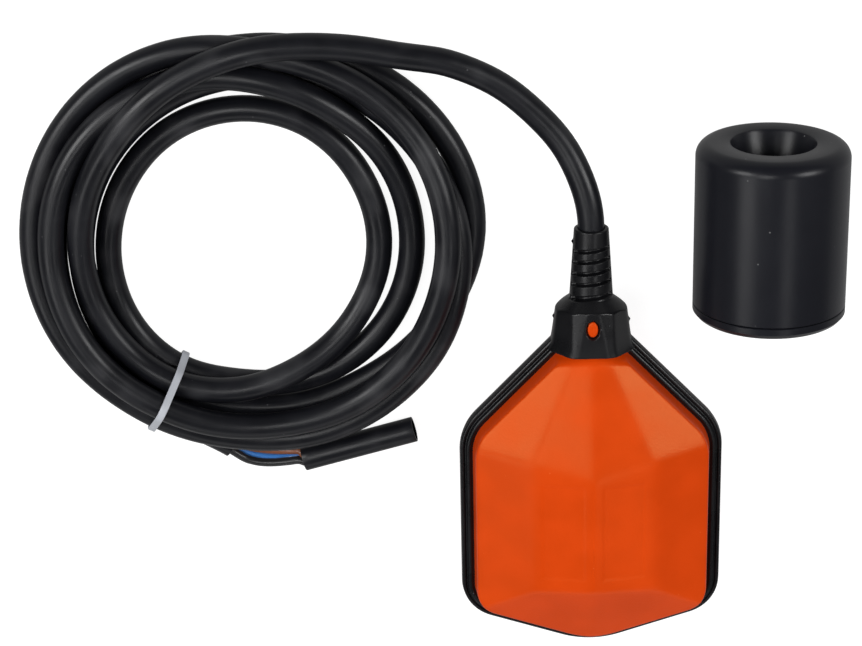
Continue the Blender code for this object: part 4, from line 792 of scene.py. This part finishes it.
def finish(name, colour, rough, metallic=0.0, fine=2500.0, broad=90.0, bump=0.00002, drift=0.12, uneven=0.10,
           scratches=0.0, specks=0.0, scratch_scale=260.0, speck_scale=420.0, mark=(0.30, 0.30, 0.31),
           stretch=(1.0, 1.0, 1.0), drawn=0.0, shine=0.5, shine_colour=(1.0, 1.0, 1.0)):
    """A material on object coordinates: drifting colour, uneven roughness, grain bump, scratches and specks.

    The colour drifts by the share drift, the roughness by uneven. Scratches and specks take the colour
    mark. stretch scales the grain's coordinates, for brushed or drawn metal. drawn is the depth of a
    sheath's lines, read from the UV map, where the sheath's swellings are also a little chalky. shine
    and shine_colour are the strength and the tint of the surface's own highlight.
    """
    made = bpy.data.materials.new(name)
    made.use_nodes = True
    tree = made.node_tree
    shader = tree.nodes["Principled BSDF"]
    spread = add_node(tree, "ShaderNodeTexCoord", {}).outputs["Object"]
    place = mapping(tree, {"Vector": spread, "Scale": stretch})
    values = {"Vector": place, "Fine": fine, "Broad": broad}
    grain = add_node(tree, "ShaderNodeGroup", values, node_tree=GROUPS["grain"])
    values = {"Vector": spread, "Scratch Scale": scratch_scale, "Speck Scale": speck_scale}
    wear = add_node(tree, "ShaderNodeGroup", values, node_tree=GROUPS["wear"])
    dark = tuple(c * (1 - drift) for c in colour) + (1.0,)
    light = tuple(min(c * (1 + drift), 1.0) for c in colour) + (1.0,)
    tone = ramp(tree, grain.outputs["Tone"], 0.3, 0.7)
    shade = blend(tree, tone, dark, light)
    marks = maths(tree, "MULTIPLY", wear.outputs["Scratches"], scratches)
    dust = maths(tree, "MULTIPLY", wear.outputs["Specks"], specks)
    marked = maths(tree, "MAXIMUM", marks, dust)
    if drawn:
        own_map = add_node(tree, "ShaderNodeUVMap", {}, uv_map="UVMap").outputs[0]
        sheath = add_node(tree, "ShaderNodeGroup", {"Vector": own_map}, node_tree=GROUPS["drawn"])
        chalk = maths(tree, "MULTIPLY", ramp(tree, sheath.outputs["Tone"], 0.52, 0.74), CHALK)
        marked = maths(tree, "MAXIMUM", marked, chalk)
    roughness = maths(tree, "MULTIPLY_ADD", tone, uneven, rough - uneven / 2)
    values = {"Height": grain.outputs["Height"], "Distance": bump, "Strength": 1.0}
    normal = add_node(tree, "ShaderNodeBump", values).outputs[0]
    if drawn:
        values = {"Height": sheath.outputs["Height"], "Distance": drawn, "Strength": 1.0, "Normal": normal}
        normal = add_node(tree, "ShaderNodeBump", values).outputs[0]
    fill(tree, shader, {
        "Base Color": blend(tree, marked, shade, mark + (1.0,)), "Metallic": metallic,
        "Roughness": maths(tree, "MULTIPLY_ADD", marked, 0.25, roughness), "Normal": normal,
        "Specular IOR Level": shine, "Specular Tint": shine_colour + (1.0,),
    })
    return made


FINISHES = {
    "orange_polypropylene": dict(
        colour=(0.62, 0.050, 0.0020), rough=0.34, fine=1500.0, broad=60.0, bump=0.000045, drift=0.05,
        uneven=0.08, scratches=0.06, specks=0.20, scratch_scale=60.0, speck_scale=300.0,
        mark=(0.80, 0.20, 0.06), shine=0.32, shine_colour=(1.0, 0.62, 0.22)),
    "soft_black": dict(
        colour=(0.0058, 0.0058, 0.0068), rough=0.30, fine=1800.0, broad=120.0, bump=0.000010,
        scratches=0.02, specks=0.5, scratch_scale=80.0, speck_scale=380.0, mark=(0.10, 0.10, 0.105),
        shine=0.26),
    "black_plastic": dict(
        colour=(0.0074, 0.0078, 0.0110), rough=0.31, fine=1600.0, broad=70.0, bump=0.000012, drift=0.04,
        uneven=0.03, specks=0.9, speck_scale=300.0, mark=(0.16, 0.16, 0.165), shine=0.22),
    "cable_sheath": dict(
        colour=(0.0060, 0.0063, 0.0084), rough=0.33, fine=1700.0, broad=80.0, bump=0.000010,
        scratches=0.03, specks=0.7, scratch_scale=70.0, speck_scale=360.0, mark=(0.08, 0.08, 0.085),
        drawn=0.000014, shine=0.26),
    "inner_sheath": dict(
        colour=(0.0110, 0.0110, 0.0120), rough=0.40, scratches=0.3, mark=(0.10, 0.10, 0.105)),
    "capsule_plastic": dict(
        colour=(0.72, 0.70, 0.65), rough=0.45, fine=1200.0, scratches=0.2, mark=(0.55, 0.53, 0.48),
        drift=0.04),
    "switch_case": dict(colour=(0.018, 0.018, 0.020), rough=0.35, fine=3000.0, scratches=0.3),
    "switch_button": dict(colour=(0.36, 0.012, 0.010), rough=0.28, fine=3000.0, bump=0.000006),
    "steel": dict(
        colour=(0.56, 0.56, 0.57), rough=0.26, metallic=1.0, fine=900.0, bump=0.000006, drift=0.06,
        stretch=(1.0, 0.08, 1.0), scratches=0.5, mark=(0.35, 0.35, 0.36)),
    "brass": dict(
        colour=(0.66, 0.44, 0.14), rough=0.30, metallic=1.0, fine=900.0, bump=0.000006, drift=0.10,
        stretch=(0.08, 1.0, 1.0), scratches=0.5, mark=(0.40, 0.26, 0.10)),
    "cast_iron": dict(
        colour=(0.10, 0.095, 0.09), rough=0.62, metallic=0.7, fine=700.0, broad=160.0, bump=0.00012,
        drift=0.35, uneven=0.25, specks=0.8, speck_scale=300.0, mark=(0.16, 0.07, 0.03)),
    "nylon_tie": dict(
        colour=(0.44, 0.46, 0.50), rough=0.38, fine=1500.0, bump=0.000010, drift=0.05, scratches=0.3,
        mark=(0.42, 0.43, 0.45)),
    "core_brown": dict(colour=(0.24, 0.085, 0.042), rough=0.34, bump=0.000006, specks=0.3),
    "core_black": dict(colour=(0.012, 0.012, 0.013), rough=0.34, bump=0.000006, specks=0.3),
    "core_blue": dict(colour=(0.055, 0.22, 0.62), rough=0.34, bump=0.000006, specks=0.3),
}


def add_camera():
    data = bpy.data.cameras.new("camera")
    data.lens = CAMERA_LENS
    data.sensor_width = CAMERA_SENSOR
    camera = bpy.data.objects.new("camera", data)
    camera.location = CAMERA_PLACE
    camera.rotation_euler = CAMERA_TURN
    bpy.context.collection.objects.link(camera)
    bpy.context.scene.camera = camera


def add_light(name, place, target, size, radiance):
    """A soft box. Its power is radiance·pi·area, so a larger box lights more and shines as bright."""
    data = bpy.data.lights.new(name, "AREA")
    data.shape = "RECTANGLE"
    data.size, data.size_y = size
    data.energy = radiance * pi * size[0] * size[1]
    light = bpy.data.objects.new(name, data)
    light.location = place
    light.rotation_euler = (Vector(target) - Vector(place)).to_track_quat("-Z", "Y").to_euler()
    bpy.context.collection.objects.link(light)


def add_stage():
    """A pale floor, dim soft boxes in front and overhead, and a key and a rim light at the back.

    The floor gives off own_glow, and seen_glow more to the camera alone, so that it reads as white
    paper and lights the object from below only faintly.
    """
    own_glow, seen_glow = 0.18, 0.74
    pale = finish("pale_floor", (0.26, 0.26, 0.26), 0.9, fine=400.0, broad=4.0, bump=0.0, drift=0.005,
                  shine=0.1)
    shader = pale.node_tree.nodes["Principled BSDF"]
    shader.inputs["Emission Color"].default_value = (1, 1, 1, 1)
    seen = add_node(pale.node_tree, "ShaderNodeLightPath", {}).outputs["Is Camera Ray"]
    glow = maths(pale.node_tree, "MULTIPLY_ADD", seen, seen_glow, own_glow)
    pale.node_tree.links.new(glow, shader.inputs["Emission Strength"])
    corners = np.array([(-2, -2, 0), (2, -2, 0), (2, 2, 0), (-2, 2, 0)], float)
    make_mesh("floor", corners, np.array([[0, 1, 2, 3]]), pale)
    world = bpy.data.worlds.new("studio")
    world.use_nodes = True
    fill(world.node_tree, world.node_tree.nodes["Background"], {"Color": (1, 1, 1, 1), "Strength": 0.14})
    bpy.context.scene.world = world
    bpy.context.scene.view_settings.view_transform = "Standard"
    middle = (-0.05, 0.06, 0.02)
    add_light("left_box", (-0.80, -0.25, 0.95), middle, (0.40, 0.50), 3.6)
    add_light("right_box", (0.36, -0.22, 0.95), middle, (0.28, 0.22), 3.0)
    add_light("top_box", (-0.26, 0.20, 1.05), middle, (0.40, 0.34), 6.0)
    add_light("front_box", (0.0, -1.0, 0.55), middle, (1.6, 0.60), 0.9)
    add_light("key_box", (-0.84, 0.40, 0.78), middle, (0.40, 0.50), 10.5)
    add_light("rim_box", (0.84, 0.38, 0.80), middle, (0.38, 0.50), 11.5)


def dress(pieces, slot, *nodes):
    """Pieces that ride on the float and stand for its nodes, which are hidden; slot is not used."""
    for piece in pieces:
        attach(piece, "float")
        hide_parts(*nodes)


add_camera()
add_stage()
finishes = {name: finish(name, **values) for name, values in FINISHES.items()}
sheath = finishes["cable_sheath"]

path = wind_coil()
cable = make_tube("cable", path, CABLE_RADIUS, sheath)
tie = make_tie(path, finishes["nylon_tie"])
sleeve_line = np.linspace(SLEEVE_START, SLEEVE_END, 16)
sleeve = make_tube("cut_sleeve", sleeve_line, CABLE_RADIUS, sheath, bore=SLEEVE_BORE, sides=32, edge=0.00015)
cores = [make_core(colour, lay, radians(clock), path, finishes["core_" + colour])
         for colour, lay, clock in CORES]
dress([cable], "cable_sheath", "cable_lead", "cable_coil")
dress([tie], "nylon_tie", "cable_tie")
dress([sleeve], "cable_sheath", "sheath_sleeve")
for core, (colour, _, _) in zip(cores, CORES):
    dress([core], "core_" + colour, "tail_core_" + colour)

orange = finishes["orange_polypropylene"]
for side, word in ((1, "front"), (-1, "rear")):
    shell_pieces = [make_skin(word + "_skin", side, orange), *make_neck(word + "_neck", side, orange)]
    dress(shell_pieces, "orange_polypropylene", word + "_shell")
soft_black = finishes["soft_black"]
dress([make_band(soft_black), make_collar(soft_black)], "soft_black", "seal_boot")
weight_shell, weight_cap = make_weight(finishes["black_plastic"])
dress([weight_shell], "black_plastic", "counterweight_shell")
dress([weight_cap], "black_plastic", "counterweight_cap")

INNER_FINISHES = {
    "inner_sheath": ("cable_inside",),
    "capsule_plastic": ("capsule_tray", "capsule_lid", "cable_clamp"),
    "switch_case": ("microswitch_case",),
    "switch_button": ("switch_plunger",),
    "steel": ("steel_ball", "switch_lever", "clamp_screw_left", "clamp_screw_right"),
    "brass": ("terminal_open", "terminal_common", "terminal_closed"),
    "core_brown": ("inner_core_brown",),
    "core_black": ("inner_core_black",),
    "core_blue": ("inner_core_blue",),
    "soft_black": ("cable_gland",),
    "cast_iron": ("ballast_ring",),
}
for name, nodes in INNER_FINISHES.items():
    for node in nodes:
        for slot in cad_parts[node].material_slots:
            slot.material = finishes[name]
